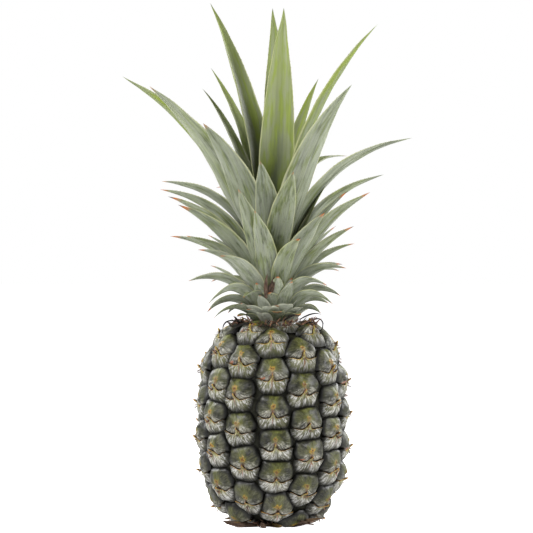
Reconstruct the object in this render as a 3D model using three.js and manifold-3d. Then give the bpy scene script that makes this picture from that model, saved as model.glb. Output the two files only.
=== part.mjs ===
// A pineapple with its crown, standing upright on its base.
// Millimetres, +Z up, the front toward -Y. The origin is the middle of the flat base.
// Turns are in degrees about +Z: 0 faces the front, 90 faces +X, 180 faces the back.

import Module from "manifold-3d";
import * as THREE from "three";

// The fruit: two half-barrels that meet at the widest ring, cut flat at foot and top.
const fruitRadius = 57.2;
const widestHeight = 74;
const lowerReach = 79.3;
const lowerPower = 2.4;
const upperReach = 82.9;
const upperPower = 3;
const fruitTop = 152;
const fruitColumns = 65;
const fruitRows = 30;
const outlineCount = 2000;

// The eyes follow one spiral: the same turn and the same share of skin from each to the next.
const eyeTurn = 138.4;
const eyeSkin = 704;
const firstEyeTurn = 31.2;
const firstEyeSkin = 317;
const furrowDepth = 4.2;
const eyeRise = 0.9;
const eyeShoulder = 6.5;
const nubRise = 1.6;
const nubReach = 3.6;
const nubLift = 5;
const reliefFade = 7;

// The hollow under the fruit, where the stalk broke away, and the stub left in it.
const hollowRadius = 15.5;
const hollowDepth = 6;
const stubRadius = 12.8;
const stubHeight = 5.6;
const stubWaist = 0.86;

// The crown's stem, and the cone around it on which the leaves start.
const crownBase = 152;
const stemGap = 0.4;
const stemHeight = 60;
const stemFootRadius = 9.5;
const stemTipRadius = 2;
const leafFootRadius = 15;
const leafHeadRadius = 6;
const leafConeHeight = 66;

// A leaf's section: a channel, thickest in the middle, that is shallow at the foot.
const leafRings = 9;
const leafThickness = 2;
const leafThinning = 0.55;
const channelSlope = 0.6;
const footSlopeShare = 0.35;
const slopeSpan = 0.25;
const rollSpan = 0.4;
const footWidthShare = 0.34;
const footSpan = 0.34;
const tipSpan = 0.65;
const tipPower = 1.8;
const leafClearance = 0.35;

// Leaves whose tips stand at least this far above the crown's base show their green side.
const greenRise = 160;

const wasm = await Module();
wasm.setup();

const part = new THREE.Group();

function skinMaterial(color, roughness) {
  return new THREE.MeshStandardMaterial({ color, roughness, metalness: 0 });
}

const rindMaterial = skinMaterial(0x5c6448, 0.5);
const silverLeaf = skinMaterial(0x9aa68c, 0.6);
const greenLeaf = skinMaterial(0x7f9350, 0.55);
const driedMaterial = skinMaterial(0x5a4330, 0.85);
const stemMaterial = skinMaterial(0xb8bf8e, 0.7);

function surface(coordinates, corners) {
  const geometry = new THREE.BufferGeometry();
  geometry.setAttribute("position", new THREE.Float32BufferAttribute(coordinates, 3));
  geometry.setIndex(corners);
  return geometry;
}

function addPiece(name, geometry, material) {
  geometry.computeVertexNormals();
  const mesh = new THREE.Mesh(geometry, material);
  mesh.name = name;
  part.add(mesh);
}

function radians(degrees) {
  return degrees * Math.PI / 180;
}

function easeBetween(value, low, high) {
  const share = Math.min(Math.max((value - low) / (high - low), 0), 1);
  return share * share * (3 - 2 * share);
}

function fruitRadiusAt(height) {
  const below = height < widestHeight;
  const reach = below ? lowerReach : upperReach;
  const power = below ? lowerPower : upperPower;
  const share = Math.abs(height - widestHeight) / reach;
  return fruitRadius * Math.pow(1 - Math.pow(share, power), 1 / power);
}

// The fruit's outline from its foot to its top, with the skin's area so far at each step.
function outlineSteps(count) {
  const steps = [{ height: 0, radius: fruitRadiusAt(0), length: 0, area: 0 }];
  for (let i = 1; i <= count; i += 1) {
    const height = fruitTop * i / count;
    const radius = fruitRadiusAt(height);
    const last = steps[i - 1];
    const span = Math.hypot(height - last.height, radius - last.radius);
    const area = last.area + Math.PI * (radius + last.radius) * span;
    steps.push({ height, radius, length: last.length + span, area });
  }
  return steps;
}

const outline = outlineSteps(outlineCount);

function stepAt(key, value) {
  return outline.find((step) => step[key] >= value) ?? outline[outline.length - 1];
}

function around(turn, radius, height) {
  const angle = radians(turn);
  return new THREE.Vector3(radius * Math.sin(angle), -radius * Math.cos(angle), height);
}

// The eyes' middles, from the foot of the fruit to its top.
function eyePlaces() {
  const places = [];
  const skin = outline[outline.length - 1].area;
  for (let i = 0; firstEyeSkin + i * eyeSkin <= skin; i += 1) {
    const step = stepAt("area", firstEyeSkin + i * eyeSkin);
    places.push(around(firstEyeTurn + eyeTurn * i, step.radius, step.height));
  }
  return places;
}

const eyes = eyePlaces();

// How far the skin stands out at a point: domed eyes, furrows between them, a nub on each.
function reliefAt(point) {
  const near = eyes
    .map((eye) => ({ eye, distance: eye.distanceTo(point) }))
    .sort((a, b) => a.distance - b.distance);
  const [own, next] = near;
  const apart = own.eye.distanceTo(next.eye);
  const border = (next.distance ** 2 - own.distance ** 2) / (2 * apart);
  const dome = easeBetween(border, 0, eyeShoulder) * (furrowDepth + eyeRise) - furrowDepth;
  const aside = Math.hypot(point.x - own.eye.x, point.y - own.eye.y);
  const above = point.z - own.eye.z - nubLift;
  const nub = nubRise * Math.exp(-(aside ** 2 + above ** 2) / nubReach ** 2);
  const ends = Math.min(point.z, fruitTop - point.z);
  return (dome + nub) * easeBetween(ends, 0, reliefFade);
}

// A closed surface of stacked rings, with a point at each end.
function turnedPiece(name, first, rings, last, material) {
  const columns = rings[0].length;
  const points = [first, ...rings.flat(), last];
  const faces = [];
  const at = (ring, column) => 1 + ring * columns + (column % columns);
  for (let j = 0; j < columns; j += 1) {
    faces.push([0, at(0, j + 1), at(0, j)]);
    faces.push([points.length - 1, at(rings.length - 1, j), at(rings.length - 1, j + 1)]);
    for (let i = 0; i + 1 < rings.length; i += 1) {
      faces.push([at(i, j), at(i, j + 1), at(i + 1, j)]);
      faces.push([at(i, j + 1), at(i + 1, j + 1), at(i + 1, j)]);
    }
  }
  addPiece(name, surface(points.flat(), faces.flat()), material);
}

function plainRing(radius, height, columns) {
  const ring = [];
  for (let j = 0; j < columns; j += 1) {
    ring.push(around(360 * j / columns, radius, height).toArray());
  }
  return ring;
}

function fruitBody() {
  const rings = [
    plainRing(hollowRadius, hollowDepth, fruitColumns),
    plainRing(hollowRadius, 0, fruitColumns),
  ];
  const total = outline[outline.length - 1].length;
  for (let i = 0; i <= fruitRows; i += 1) {
    const step = stepAt("length", total * i / fruitRows);
    const before = stepAt("length", step.length - 1);
    const after = stepAt("length", step.length + 1);
    const rise = after.height - before.height;
    const spread = after.radius - before.radius;
    const span = Math.hypot(rise, spread);
    const ring = [];
    for (let j = 0; j < fruitColumns; j += 1) {
      const turn = 360 * j / fruitColumns;
      const relief = reliefAt(around(turn, step.radius, step.height));
      const radius = step.radius + relief * rise / span;
      const height = step.height - relief * spread / span;
      ring.push(around(turn, radius, height).toArray());
    }
    rings.push(ring);
  }
  turnedPiece("fruit_body", [0, 0, hollowDepth], rings, [0, 0, fruitTop], rindMaterial);
}

function stalkStub() {
  const columns = 20;
  const rings = [
    plainRing(stubRadius, 0, columns),
    plainRing(stubRadius * stubWaist, stubHeight / 2, columns),
    plainRing(stubRadius * stubWaist, stubHeight, columns),
  ];
  turnedPiece("stalk_stub", [0, 0, 0], rings, [0, 0, stubHeight], driedMaterial);
}

function crownStem() {
  const columns = 12;
  const foot = crownBase + stemGap;
  const rings = [0, 0.5, 1].map((share) => {
    const radius = stemFootRadius + (stemTipRadius - stemFootRadius) * share;
    return plainRing(radius, foot + stemHeight * share, columns);
  });
  const top = foot + stemHeight + stemTipRadius;
  turnedPiece("crown_stem", [0, 0, foot], rings, [0, 0, top], stemMaterial);
}

function leafWidthShare(along) {
  const toTip = Math.min((1 - along) / tipSpan, 1);
  const taper = 1 - Math.pow(1 - toTip, tipPower);
  const foot = Math.min(along / footSpan, 1);
  return taper * (footWidthShare + (1 - footWidthShare) * foot);
}

// The line a leaf follows from the cone around the stem to its tip, bowed upward.
function leafSpine(leaf) {
  const outward = around(leaf.turn, 1, 0);
  const aside = around(leaf.turn + 90, 1, 0);
  const climb = Math.min(leaf.foot / leafConeHeight, 1);
  const footRadius = leafFootRadius + (leafHeadRadius - leafFootRadius) * climb;
  const start = outward.clone().multiplyScalar(footRadius).setZ(crownBase + leaf.foot);
  const tip = outward.clone().multiplyScalar(leaf.reach).addScaledVector(aside, leaf.sway);
  tip.z = crownBase + leaf.rise;
  const chord = tip.clone().sub(start);
  const lift = chord.clone().cross(aside).normalize();
  const bend = start.clone().add(tip).multiplyScalar(0.5);
  bend.addScaledVector(lift, 2 * leaf.arch * chord.length());
  return new THREE.QuadraticBezierCurve3(start, bend, tip);
}

function slopeAt(along) {
  const share = Math.min(along / slopeSpan, 1);
  return channelSlope * (footSlopeShare + (1 - footSlopeShare) * share);
}

// A leaf's section as [aside, up] points: a chevron, thin at both rims.
function leafSection(along, width) {
  const half = width / 2 * leafWidthShare(along);
  const rise = half * slopeAt(along);
  const thick = leafThickness * (1 - leafThinning * along) / 2;
  return [[-half, rise], [0, -thick], [half, rise], [0, thick]];
}

// The same section with clearance all round it, and square rims.
function wideSection(along, width) {
  const [, keel, rim, channel] = leafSection(along, width);
  const out = rim[0] + 2 * leafClearance;
  const low = out * slopeAt(along) - leafClearance;
  const high = out * slopeAt(along) + leafClearance;
  return [
    [-out, high], [-out, low], [0, keel[1] - leafClearance],
    [out, low], [out, high], [0, channel[1] + leafClearance],
  ];
}

// A leaf's closed surface: its section carried along its spine, drawn to a point at the tip.
function leafSolid(leaf, section) {
  const aside = around(leaf.turn + 90, 1, 0);
  const spine = leafSpine(leaf);
  const rings = [];
  for (let i = 0; i < leafRings; i += 1) {
    const along = i / leafRings;
    const middle = spine.getPoint(along);
    const forward = spine.getTangent(along);
    const inner = forward.clone().cross(aside).normalize();
    const across = inner.clone().cross(forward).normalize();
    across.applyAxisAngle(forward, radians(leaf.roll) * Math.min(along / rollSpan, 1));
    const up = forward.clone().cross(across);
    rings.push(section(along, leaf.width).map(([sideways, upward]) => (
      middle.clone().addScaledVector(across, sideways).addScaledVector(up, upward).toArray()
    )));
  }
  const columns = rings[0].length;
  const points = [...rings.flat(), spine.getPoint(1).toArray()];
  const tip = points.length - 1;
  const faces = [];
  for (let k = 0; k < columns; k += 1) {
    const next = (k + 1) % columns;
    for (let i = 0; i + 1 < leafRings; i += 1) {
      const low = i * columns;
      faces.push([low + k, low + next, low + columns + k]);
      faces.push([low + next, low + columns + next, low + columns + k]);
    }
    faces.push([tip - columns + k, tip - columns + next, tip]);
  }
  for (let k = 1; k + 1 < columns; k += 1) {
    faces.push([columns - 1, k, k - 1]);
  }
  return new wasm.Manifold(new wasm.Mesh({
    numProp: 3,
    vertProperties: Float32Array.from(points.flat()),
    triVerts: Uint32Array.from(faces.flat()),
  }));
}

// A leaf as it is left by the leaves outside it, which it would otherwise grow through.
function crownLeaf(name, leaf, outerLeaves, material) {
  let solid = leafSolid(leaf, leafSection);
  for (const outer of outerLeaves) {
    solid = solid.subtract(leafSolid(outer, wideSection));
  }
  const [largest] = solid.decompose().sort((a, b) => b.volume() - a.volume());
  const shape = largest.getMesh();
  addPiece(name, surface(shape.vertProperties, Array.from(shape.triVerts)), material);
}

// The leaves, from the innermost to those at the crown's foot.
// turn: which way it grows; foot, rise: how high its foot and tip lie above the crown's base;
// reach, sway: how far out and aside its tip lies; arch: how much it bows upward, as a share
// of its length; width: across the blade; roll: how far the blade turns about its own length.
const crownLeaves = [
  // turn, foot, reach, rise, arch, width, sway, roll
  [180, 60, 14, 241, 0.03, 27, -8, 0],
  [-138, 56, 72, 246, 0.06, 26, 0, 10],
  [118, 54, 88, 230, 0.09, 24, -6, -32],
  [-170, 52, 34, 242, 0.05, 24, -6, 10],
  [-8, 50, 56, 125, 0.05, 20, -2, 0],
  [150, 48, 70, 188, 0.08, 15, 0, 0],
  [16, 46, 60, 117, 0.05, 21, -1, 0],
  [-125, 46, 66, 180, 0.08, 15, 0, 0],
  [-162, 46, 60, 165, 0.08, 21, 0, 0],
  [-150, 44, 96, 197, 0.1, 13, 0, 10],
  [46, 44, 76, 182, 0.08, 25, 6, -15],
  [166, 44, 66, 150, 0.08, 20, 0, 0],
  [-50, 42, 68, 153, 0.06, 27, 0, 20],
  [-98, 38, 116, 189, 0.11, 19, 0, 45],
  [-76, 36, 96, 181, 0.09, 21, 0, 45],
  [96, 36, 107, 142, 0.18, 14, 0, -40],
  [146, 36, 104, 128, 0.26, 15, 0, 0],
  [-166, 34, 84, 128, 0.12, 19, 0, 0],
  [170, 33, 88, 120, 0.14, 19, 0, 0],
  [104, 30, 54, 124, 0.08, 17, 0, 30],
  [-112, 30, 92, 109, 0.2, 16, 0, 40],
  [-150, 30, 88, 104, 0.25, 15, 0, 0],
  [104, 30, 88, 114, 0.16, 14, 0, -40],
  [-26, 28, 60, 104, 0.04, 17, 0, 15],
  [-100, 27, 87, 103, 0.16, 16, 0, 40],
  [138, 27, 72, 94, 0.14, 17, 0, 0],
  [40, 26, 60, 86, 0.06, 18, 0, -15],
  [84, 26, 57, 102, 0.08, 13, 0, -30],
  [-136, 25, 80, 88, 0.14, 17, 0, 0],
  [-13, 24, 60, 88, 0.06, 17, 0, 0],
  [-86, 24, 80, 98, 0.12, 14, 0, 40],
  [-64, 24, 80, 92, 0.1, 18, 0, 25],
  [72, 22, 77, 101, 0.11, 15, 0, -35],
  [178, 22, 84, 78, 0.16, 17, 0, 0],
  [18, 20, 66, 67, 0.14, 15, 0, 0],
  [-74, 20, 68, 68, 0.12, 14, 0, 30],
  [80, 18, 62, 75, 0.1, 13, 0, -35],
  [-97, 18, 79, 67, 0.14, 13, 0, 35],
  [-158, 17, 78, 56, 0.2, 15, 0, 0],
  [155, 17, 78, 54, 0.2, 15, 0, 0],
  [-60, 15, 65, 58, 0.16, 12, 0, 30],
  [98, 14, 63, 62, 0.14, 12, 0, -35],
  [-40, 14, 62, 54, 0.14, 15, 0, 20],
  [90, 13, 53, 46, 0.22, 12, 0, -30],
  [124, 13, 62, 40, 0.22, 13, 0, 0],
  [68, 12, 60, 44, 0.22, 13, 0, -35],
  [-84, 12, 65, 34, 0.2, 12, 0, 35],
  [-112, 12, 52, 45, 0.1, 10, 0, 20],
  [-130, 10, 62, 32, 0.24, 13, 0, 0],
  [50, 9, 54, 31, 0.28, 13, 0, -25],
  [-58, 9, 58, 17, 0.32, 14, 0, 25],
  [82, 8, 52, 22, 0.28, 12, 0, -35],
  [178, 8, 60, 24, 0.28, 14, 0, 0],
  [-9, 4, 27, 26, 0.16, 21, 0, 0],
  [-80, 6, 51, 10, 0.3, 12, 0, 30],
  [58, 5, 54, 17, 0.28, 13, 0, -30],
];

fruitBody();
stalkStub();
crownStem();
const leaves = crownLeaves.map(([turn, foot, reach, rise, arch, width, sway, roll]) => (
  { turn, foot, reach, rise, arch, width, sway, roll }
));
leaves.forEach((leaf, i) => {
  const name = `leaf_${String(i + 1).padStart(2, "0")}`;
  crownLeaf(name, leaf, leaves.slice(i + 1), leaf.rise > greenRise ? greenLeaf : silverLeaf);
});

export default part;
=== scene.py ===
import math
import random

import bpy
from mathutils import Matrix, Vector


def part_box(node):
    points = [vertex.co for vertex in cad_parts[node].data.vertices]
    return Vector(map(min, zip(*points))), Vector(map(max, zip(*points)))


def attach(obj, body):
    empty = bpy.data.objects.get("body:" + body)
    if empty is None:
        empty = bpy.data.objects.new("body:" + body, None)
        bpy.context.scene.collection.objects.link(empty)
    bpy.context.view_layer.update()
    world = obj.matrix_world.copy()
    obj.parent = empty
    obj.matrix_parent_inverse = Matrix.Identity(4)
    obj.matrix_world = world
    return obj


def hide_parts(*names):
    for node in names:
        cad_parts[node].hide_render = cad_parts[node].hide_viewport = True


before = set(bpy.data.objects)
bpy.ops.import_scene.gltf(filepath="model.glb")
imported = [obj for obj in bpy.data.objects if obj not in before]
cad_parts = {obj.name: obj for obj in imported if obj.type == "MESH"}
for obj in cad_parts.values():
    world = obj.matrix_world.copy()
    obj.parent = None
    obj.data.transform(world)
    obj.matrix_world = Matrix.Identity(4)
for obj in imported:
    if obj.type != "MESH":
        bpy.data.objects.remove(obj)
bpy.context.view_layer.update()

mm = 0.001
goldenTurn = 137.5      # degrees from one small leaf or shred to the next
print("frame loaded:", len(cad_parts), "nodes")


# Small helpers for meshes and node trees.

def meshPiece(name, points, faces, floats=None, vectors=None, smooth=True):
    mesh = bpy.data.meshes.new(name)
    mesh.from_pydata([tuple(p) for p in points], [], faces)
    for label, values in (floats or {}).items():
        mesh.attributes.new(label, "FLOAT", "POINT").data.foreach_set("value", values)
    for label, values in (vectors or {}).items():
        flat = [c for v in values for c in v]
        mesh.attributes.new(label, "FLOAT_VECTOR", "POINT").data.foreach_set("vector", flat)
    if smooth and faces:
        mesh.polygons.foreach_set("use_smooth", [True] * len(mesh.polygons))
    piece = bpy.data.objects.new(name, mesh)
    bpy.context.scene.collection.objects.link(piece)
    return piece


def gridFaces(rows, columns, closed=False):
    faces = []
    for i in range(rows - 1):
        for j in range(columns if closed else columns - 1):
            k = (j + 1) % columns
            faces.append((i * columns + j, i * columns + k, (i + 1) * columns + k, (i + 1) * columns + j))
    return faces


def feed(tree, socket, value):
    if isinstance(value, bpy.types.NodeSocket):
        tree.links.new(value, socket)
    elif value is not None:
        socket.default_value = value


def put(tree, kind, inputs=None, **settings):
    # a node with its settings made and its named inputs fed; gives the node back
    node = tree.nodes.new(kind)
    for label, value in settings.items():
        setattr(node, label, value)
    for label, value in (inputs or {}).items():
        feed(tree, next(s for s in node.inputs if s.enabled and s.name == label), value)
    return node


def shown(node):
    return next(s for s in node.outputs if s.enabled)


def calc(tree, operation, *values):
    node = put(tree, "ShaderNodeMath", operation=operation)
    for socket, value in zip(node.inputs, values):
        feed(tree, socket, value)
    return node.outputs[0]


def vectorCalc(tree, operation, *values):
    node = put(tree, "ShaderNodeVectorMath", operation=operation)
    for socket, value in zip([s for s in node.inputs if s.enabled], values):
        feed(tree, socket, value)
    return shown(node)


def total(tree, *values):
    result = values[0]
    for value in values[1:]:
        result = calc(tree, "ADD", result, value)
    return result


def times(tree, *values):
    result = values[0]
    for value in values[1:]:
        result = calc(tree, "MULTIPLY", result, value)
    return result


def vectorTotal(tree, *values):
    result = values[0]
    for value in values[1:]:
        result = vectorCalc(tree, "ADD", result, value)
    return result


def ease(tree, value, low, high, start=0.0, end=1.0):
    node = put(tree, "ShaderNodeMapRange", interpolation_type="SMOOTHSTEP")
    for socket, number in zip(node.inputs, (value, low, high, start, end)):
        feed(tree, socket, number)
    return node.outputs[0]


def hump(tree, distance, width):
    # 1 in the middle, falling off like a bell
    share = calc(tree, "DIVIDE", distance, width)
    return calc(tree, "EXPONENT", times(tree, times(tree, share, share), -1.0))


def mixed(tree, share, a, b):
    node = put(tree, "ShaderNodeMix", data_type="FLOAT")
    for socket, value in zip([s for s in node.inputs if s.enabled], (share, a, b)):
        feed(tree, socket, value)
    return shown(node)


def drawnCurve(tree, value, points):
    node = put(tree, "ShaderNodeFloatCurve", {"Value": value})
    line = node.mapping.curves[0]
    while len(line.points) < len(points):
        line.points.new(0.5, 0.5)
    for handle, place in zip(line.points, points):
        handle.location = place
    node.mapping.update()
    return node.outputs[0]


def named(tree, label, kind="FLOAT"):
    return put(tree, "GeometryNodeInputNamedAttribute", {"Name": label}, data_type=kind).outputs[0]


def stored(tree, geometry, label, value, kind="FLOAT"):
    node = put(tree, "GeometryNodeStoreNamedAttribute", data_type=kind, domain="POINT")
    feed(tree, node.inputs["Geometry"], geometry)
    feed(tree, node.inputs["Name"], label)
    feed(tree, node.inputs["Value"], value)
    return node.outputs[0]


def geometryTree(name, sizes):
    # a tree with a Geometry in and out and one named input for each size
    tree = bpy.data.node_groups.new(name, "GeometryNodeTree")
    tree.interface.new_socket("Geometry", in_out="INPUT", socket_type="NodeSocketGeometry")
    for label, kind, value in sizes:
        socket = tree.interface.new_socket(label, in_out="INPUT", socket_type="NodeSocket" + kind)
        if value is not None:
            socket.default_value = value
    tree.interface.new_socket("Geometry", in_out="OUTPUT", socket_type="NodeSocketGeometry")
    given = tree.nodes.new("NodeGroupInput").outputs
    return tree, given


def finishTree(tree, geometry, material):
    real = put(tree, "GeometryNodeRealizeInstances", {"Geometry": geometry}).outputs[0]
    shaded = put(tree, "GeometryNodeSetMaterial", {"Geometry": real, "Material": material}).outputs[0]
    end = tree.nodes.new("NodeGroupOutput")
    tree.links.new(shaded, end.inputs[0])


def grow(piece, tree, values):
    # runs a tree on a piece and leaves the result as the piece's own plain mesh
    modifier = piece.modifiers.new(tree.name, "NODES")
    modifier.node_group = tree
    for item in tree.interface.items_tree:
        if item.in_out == "INPUT" and item.name in values:
            modifier[item.identifier] = values[item.name]
    bpy.context.view_layer.update()
    evaluated = piece.evaluated_get(bpy.context.evaluated_depsgraph_get())
    mesh = bpy.data.meshes.new_from_object(evaluated)
    piece.modifiers.remove(modifier)
    old, piece.data = piece.data, mesh
    bpy.data.meshes.remove(old)
    mesh.name = piece.name
    mesh.polygons.foreach_set("use_smooth", [True] * len(mesh.polygons))
    return piece


def helperPiece(piece):
    # a template for a tree, not part of the object
    piece.hide_render = True
    piece.hide_viewport = True
    return piece


# Shader helpers.

def newMaterial(name):
    material = bpy.data.materials.new(name)
    material.use_nodes = True
    tree = material.node_tree
    shader = tree.nodes["Principled BSDF"]
    return material, tree, shader


def attribute(tree, label):
    return put(tree, "ShaderNodeAttribute", attribute_name=label, attribute_type="GEOMETRY").outputs["Fac"]


def hexColour(code):
    # a web colour as linear light
    parts = [int(code[i:i + 2], 16) / 255 for i in (1, 3, 5)]
    return tuple(p / 12.92 if p <= 0.04045 else ((p + 0.055) / 1.055) ** 2.4 for p in parts)


def colourMix(tree, share, a, b, blend="MIX"):
    # a and b are outputs or web colours
    node = put(tree, "ShaderNodeMix", data_type="RGBA", blend_type=blend)
    for socket, value in zip([s for s in node.inputs if s.enabled], (share, a, b)):
        feed(tree, socket, (*hexColour(value), 1.0) if isinstance(value, str) else value)
    return shown(node)


def noiseOf(tree, vector, scale, detail=3.0, rough=0.55, distortion=0.0):
    node = put(tree, "ShaderNodeTexNoise", {"Vector": vector, "Scale": scale, "Detail": detail,
                                            "Roughness": rough, "Distortion": distortion})
    return node.outputs[0]


def objectPlace(tree):
    return put(tree, "ShaderNodeTexCoord").outputs["Object"]


def speckleGroup():
    # fine mottling used on rind and leaves: a broad cloud, a fine grain and a bump height
    tree = bpy.data.node_groups.new("plantSpeckle", "ShaderNodeTree")
    for label, kind in (("Place", "Vector"), ("Cloud Scale", "Float"), ("Grain Scale", "Float")):
        tree.interface.new_socket(label, in_out="INPUT", socket_type="NodeSocket" + kind)
    for label in ("Cloud", "Grain", "Height"):
        tree.interface.new_socket(label, in_out="OUTPUT", socket_type="NodeSocketFloat")
    given = tree.nodes.new("NodeGroupInput").outputs
    cloud = noiseOf(tree, given["Place"], given["Cloud Scale"], 4.0, 0.6, 0.4)
    grain = noiseOf(tree, given["Place"], given["Grain Scale"], 2.0, 0.7)
    end = tree.nodes.new("NodeGroupOutput")
    feed(tree, end.inputs["Cloud"], ease(tree, cloud, 0.3, 0.7))
    feed(tree, end.inputs["Grain"], ease(tree, grain, 0.35, 0.68))
    feed(tree, end.inputs["Height"], total(tree, times(tree, cloud, 0.5), grain))
    return tree


def fibreGroup():
    # fine lines that run along a blade: Across and Along are the surface's own directions
    tree = bpy.data.node_groups.new("plantFibre", "ShaderNodeTree")
    for label in ("Across", "Along", "Fineness", "Offset"):
        tree.interface.new_socket(label, in_out="INPUT", socket_type="NodeSocketFloat")
    for label in ("Lines", "Broad"):
        tree.interface.new_socket(label, in_out="OUTPUT", socket_type="NodeSocketFloat")
    given = tree.nodes.new("NodeGroupInput").outputs
    crosswise = times(tree, given["Across"], given["Fineness"])
    place = put(tree, "ShaderNodeCombineXYZ", {"X": crosswise, "Y": given["Along"], "Z": given["Offset"]})
    lines = noiseOf(tree, place.outputs[0], 1.0, 2.0, 0.7)
    wide = put(tree, "ShaderNodeCombineXYZ", {
        "X": times(tree, crosswise, 0.22), "Y": given["Along"], "Z": given["Offset"]})
    broad = noiseOf(tree, wide.outputs[0], 1.0, 2.0, 0.6)
    end = tree.nodes.new("NodeGroupOutput")
    feed(tree, end.inputs["Lines"], ease(tree, lines, 0.3, 0.7))
    feed(tree, end.inputs["Broad"], ease(tree, broad, 0.3, 0.7))
    return tree


speckle = speckleGroup()
fibre = fibreGroup()


def useGroup(tree, group, values):
    node = put(tree, "ShaderNodeGroup", node_tree=group)
    for label, value in values.items():
        feed(tree, node.inputs[label], value)
    return node.outputs


def bumped(tree, shader, height, distance, strength=1.0):
    node = put(tree, "ShaderNodeBump", {"Strength": strength, "Distance": distance, "Height": height})
    feed(tree, shader.inputs["Normal"], node.outputs[0])


print("helpers ready")


# The fruit's outline and the spiral of its eyes.

fruit = {
    "radius": 57.2 * mm, "widest": 74 * mm,
    "lowerReach": 79.3 * mm, "lowerPower": 2.4,
    "upperReach": 82.9 * mm, "upperPower": 3.0,
    "top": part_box("fruit_body")[1].z,
    "shoulderReach": 14 * mm, "shoulderRise": 1.8 * mm,   # the rounded top runs in under the crown
    "hollow": 15.5 * mm, "hollowDepth": 6 * mm,
    "eyeTurn": 138.4, "firstTurn": 31.2,         # degrees from one eye to the next, and of the first
    "eyeSkin": 704 * mm * mm, "firstSkin": 317 * mm * mm,
    "turnWander": 1.3, "liftWander": 0.9 * mm,   # how far eyes stray from the spiral
    "coreDepth": 4.8 * mm,
}


def fruitRadiusAt(height):
    below = height < fruit["widest"]
    reach = fruit["lowerReach"] if below else fruit["upperReach"]
    power = fruit["lowerPower"] if below else fruit["upperPower"]
    share = min(abs(height - fruit["widest"]) / reach, 1)
    return fruit["radius"] * (1 - share ** power) ** (1 / power)


def fruitOutline(count=1500, shoulderCount=200):
    profile = [(fruit["top"] * i / count, fruitRadiusAt(fruit["top"] * i / count)) for i in range(count + 1)]
    rim = profile[-1][1] - fruit["shoulderReach"]
    for i in range(1, shoulderCount + 1):
        share = 1 - i / shoulderCount
        profile.append((fruit["top"] + fruit["shoulderRise"] * (1 - share * share),
                        fruit["shoulderReach"] + rim * share))
    steps = [(*profile[0], 0.0, 0.0)]     # height, radius, length and skin so far
    for height, radius in profile[1:]:
        was = steps[-1]
        span = math.hypot(height - was[0], radius - was[1])
        steps.append((height, radius, was[2] + span, was[3] + math.pi * (radius + was[1]) * span))
    return steps


outline = fruitOutline()


def outlineAt(column, value):
    return next((s for s in outline if s[column] >= value), outline[-1])


def outlineFrame(length):
    # height, radius and the outward and upward directions at a length along the outline
    step = outlineAt(2, length)
    low, high = outlineAt(2, step[2] - 1 * mm), outlineAt(2, step[2] + 1 * mm)
    rise, spread = high[0] - low[0], high[1] - low[1]
    span = math.hypot(rise, spread)
    return step[0], step[1], rise / span, spread / span


def turned(degrees):
    angle = math.radians(degrees)
    return Vector((math.sin(angle), -math.cos(angle), 0))


def eyeSeeds():
    chance = random.Random(11)
    places, vectors, floats = [], {"aside": [], "upward": [], "outward": []}, {
        "below": [], "beyond": [], "tint": [], "bendAside": [], "grade": []}
    wholeLength, wholeSkin = outline[-1][2], outline[-1][3]
    index = 0
    while fruit["firstSkin"] + index * fruit["eyeSkin"] < wholeSkin:
        skin = fruit["firstSkin"] + index * fruit["eyeSkin"]
        length = outlineAt(3, skin)[2] + chance.gauss(0, fruit["liftWander"])
        length = min(max(length, 0.5 * mm), wholeLength - 0.5 * mm)
        turn = fruit["firstTurn"] + fruit["eyeTurn"] * index + chance.gauss(0, fruit["turnWander"])
        height, radius, rise, spread = outlineFrame(length)
        away = turned(turn)
        places.append(away * radius + Vector((0, 0, height)))
        vectors["aside"].append(turned(turn + 90))
        vectors["upward"].append(away * spread + Vector((0, 0, rise)))
        vectors["outward"].append(away * rise - Vector((0, 0, spread)))
        floats["below"].append(length)
        floats["beyond"].append(wholeLength - length)
        floats["tint"].append(chance.random())
        floats["bendAside"].append(rise / (2 * radius))
        floats["grade"].append(height / fruit["top"])
        index += 1
    return places, floats, vectors


seedPlaces, seedFloats, seedVectors = eyeSeeds()
print("eyes on the spiral:", len(seedPlaces))


def seedPiece(name):
    return meshPiece(name, seedPlaces, [], seedFloats, seedVectors)


# The eyes: domes of three sepals, each filling its cell between its neighbours.

eye = {
    "steps": (3, 5, 8, 13, 21),      # which neighbours along the spiral can touch an eye
    "farthest": 18 * mm,             # no cell reaches farther than this
    "centreLift": 3.5 * mm,          # the dome's middle above the cell's middle
    "nubLift": 5.0 * mm,
    "rings": 16, "spokes": 44,
    "gap": 0.4 * mm, "halfWidth": 13.2 * mm, "halfHeight": 12.6 * mm, "roundness": 2.3, "corner": 2.5 * mm,
    "furrow": 4.4 * mm, "lipDepth": 4.2 * mm, "rise": 0.9 * mm,
    "capPower": 2.9, "capRound": 0.5,
    "bulge": 1.5 * mm, "bulgeAside": 5.4 * mm, "bulgeLift": -0.6 * mm, "bulgeWidth": 3.8 * mm,
    "nub": 1.1 * mm, "lumps": 1.5 * mm, "drift": 5.0 * mm,
    # how far the lip lies from the dome's middle, from straight down (0) round to straight up (1),
    # as a share of lipScale: a notch, a lobe to each side of it, and then out to the corner
    "lipLine": [(0, 0.17), (0.05, 0.25), (0.1, 0.4), (0.19, 0.5), (0.3, 0.6), (0.38, 0.76), (0.47, 1), (1, 1)],
    "lipScale": 17.5 * mm,
}


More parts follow.
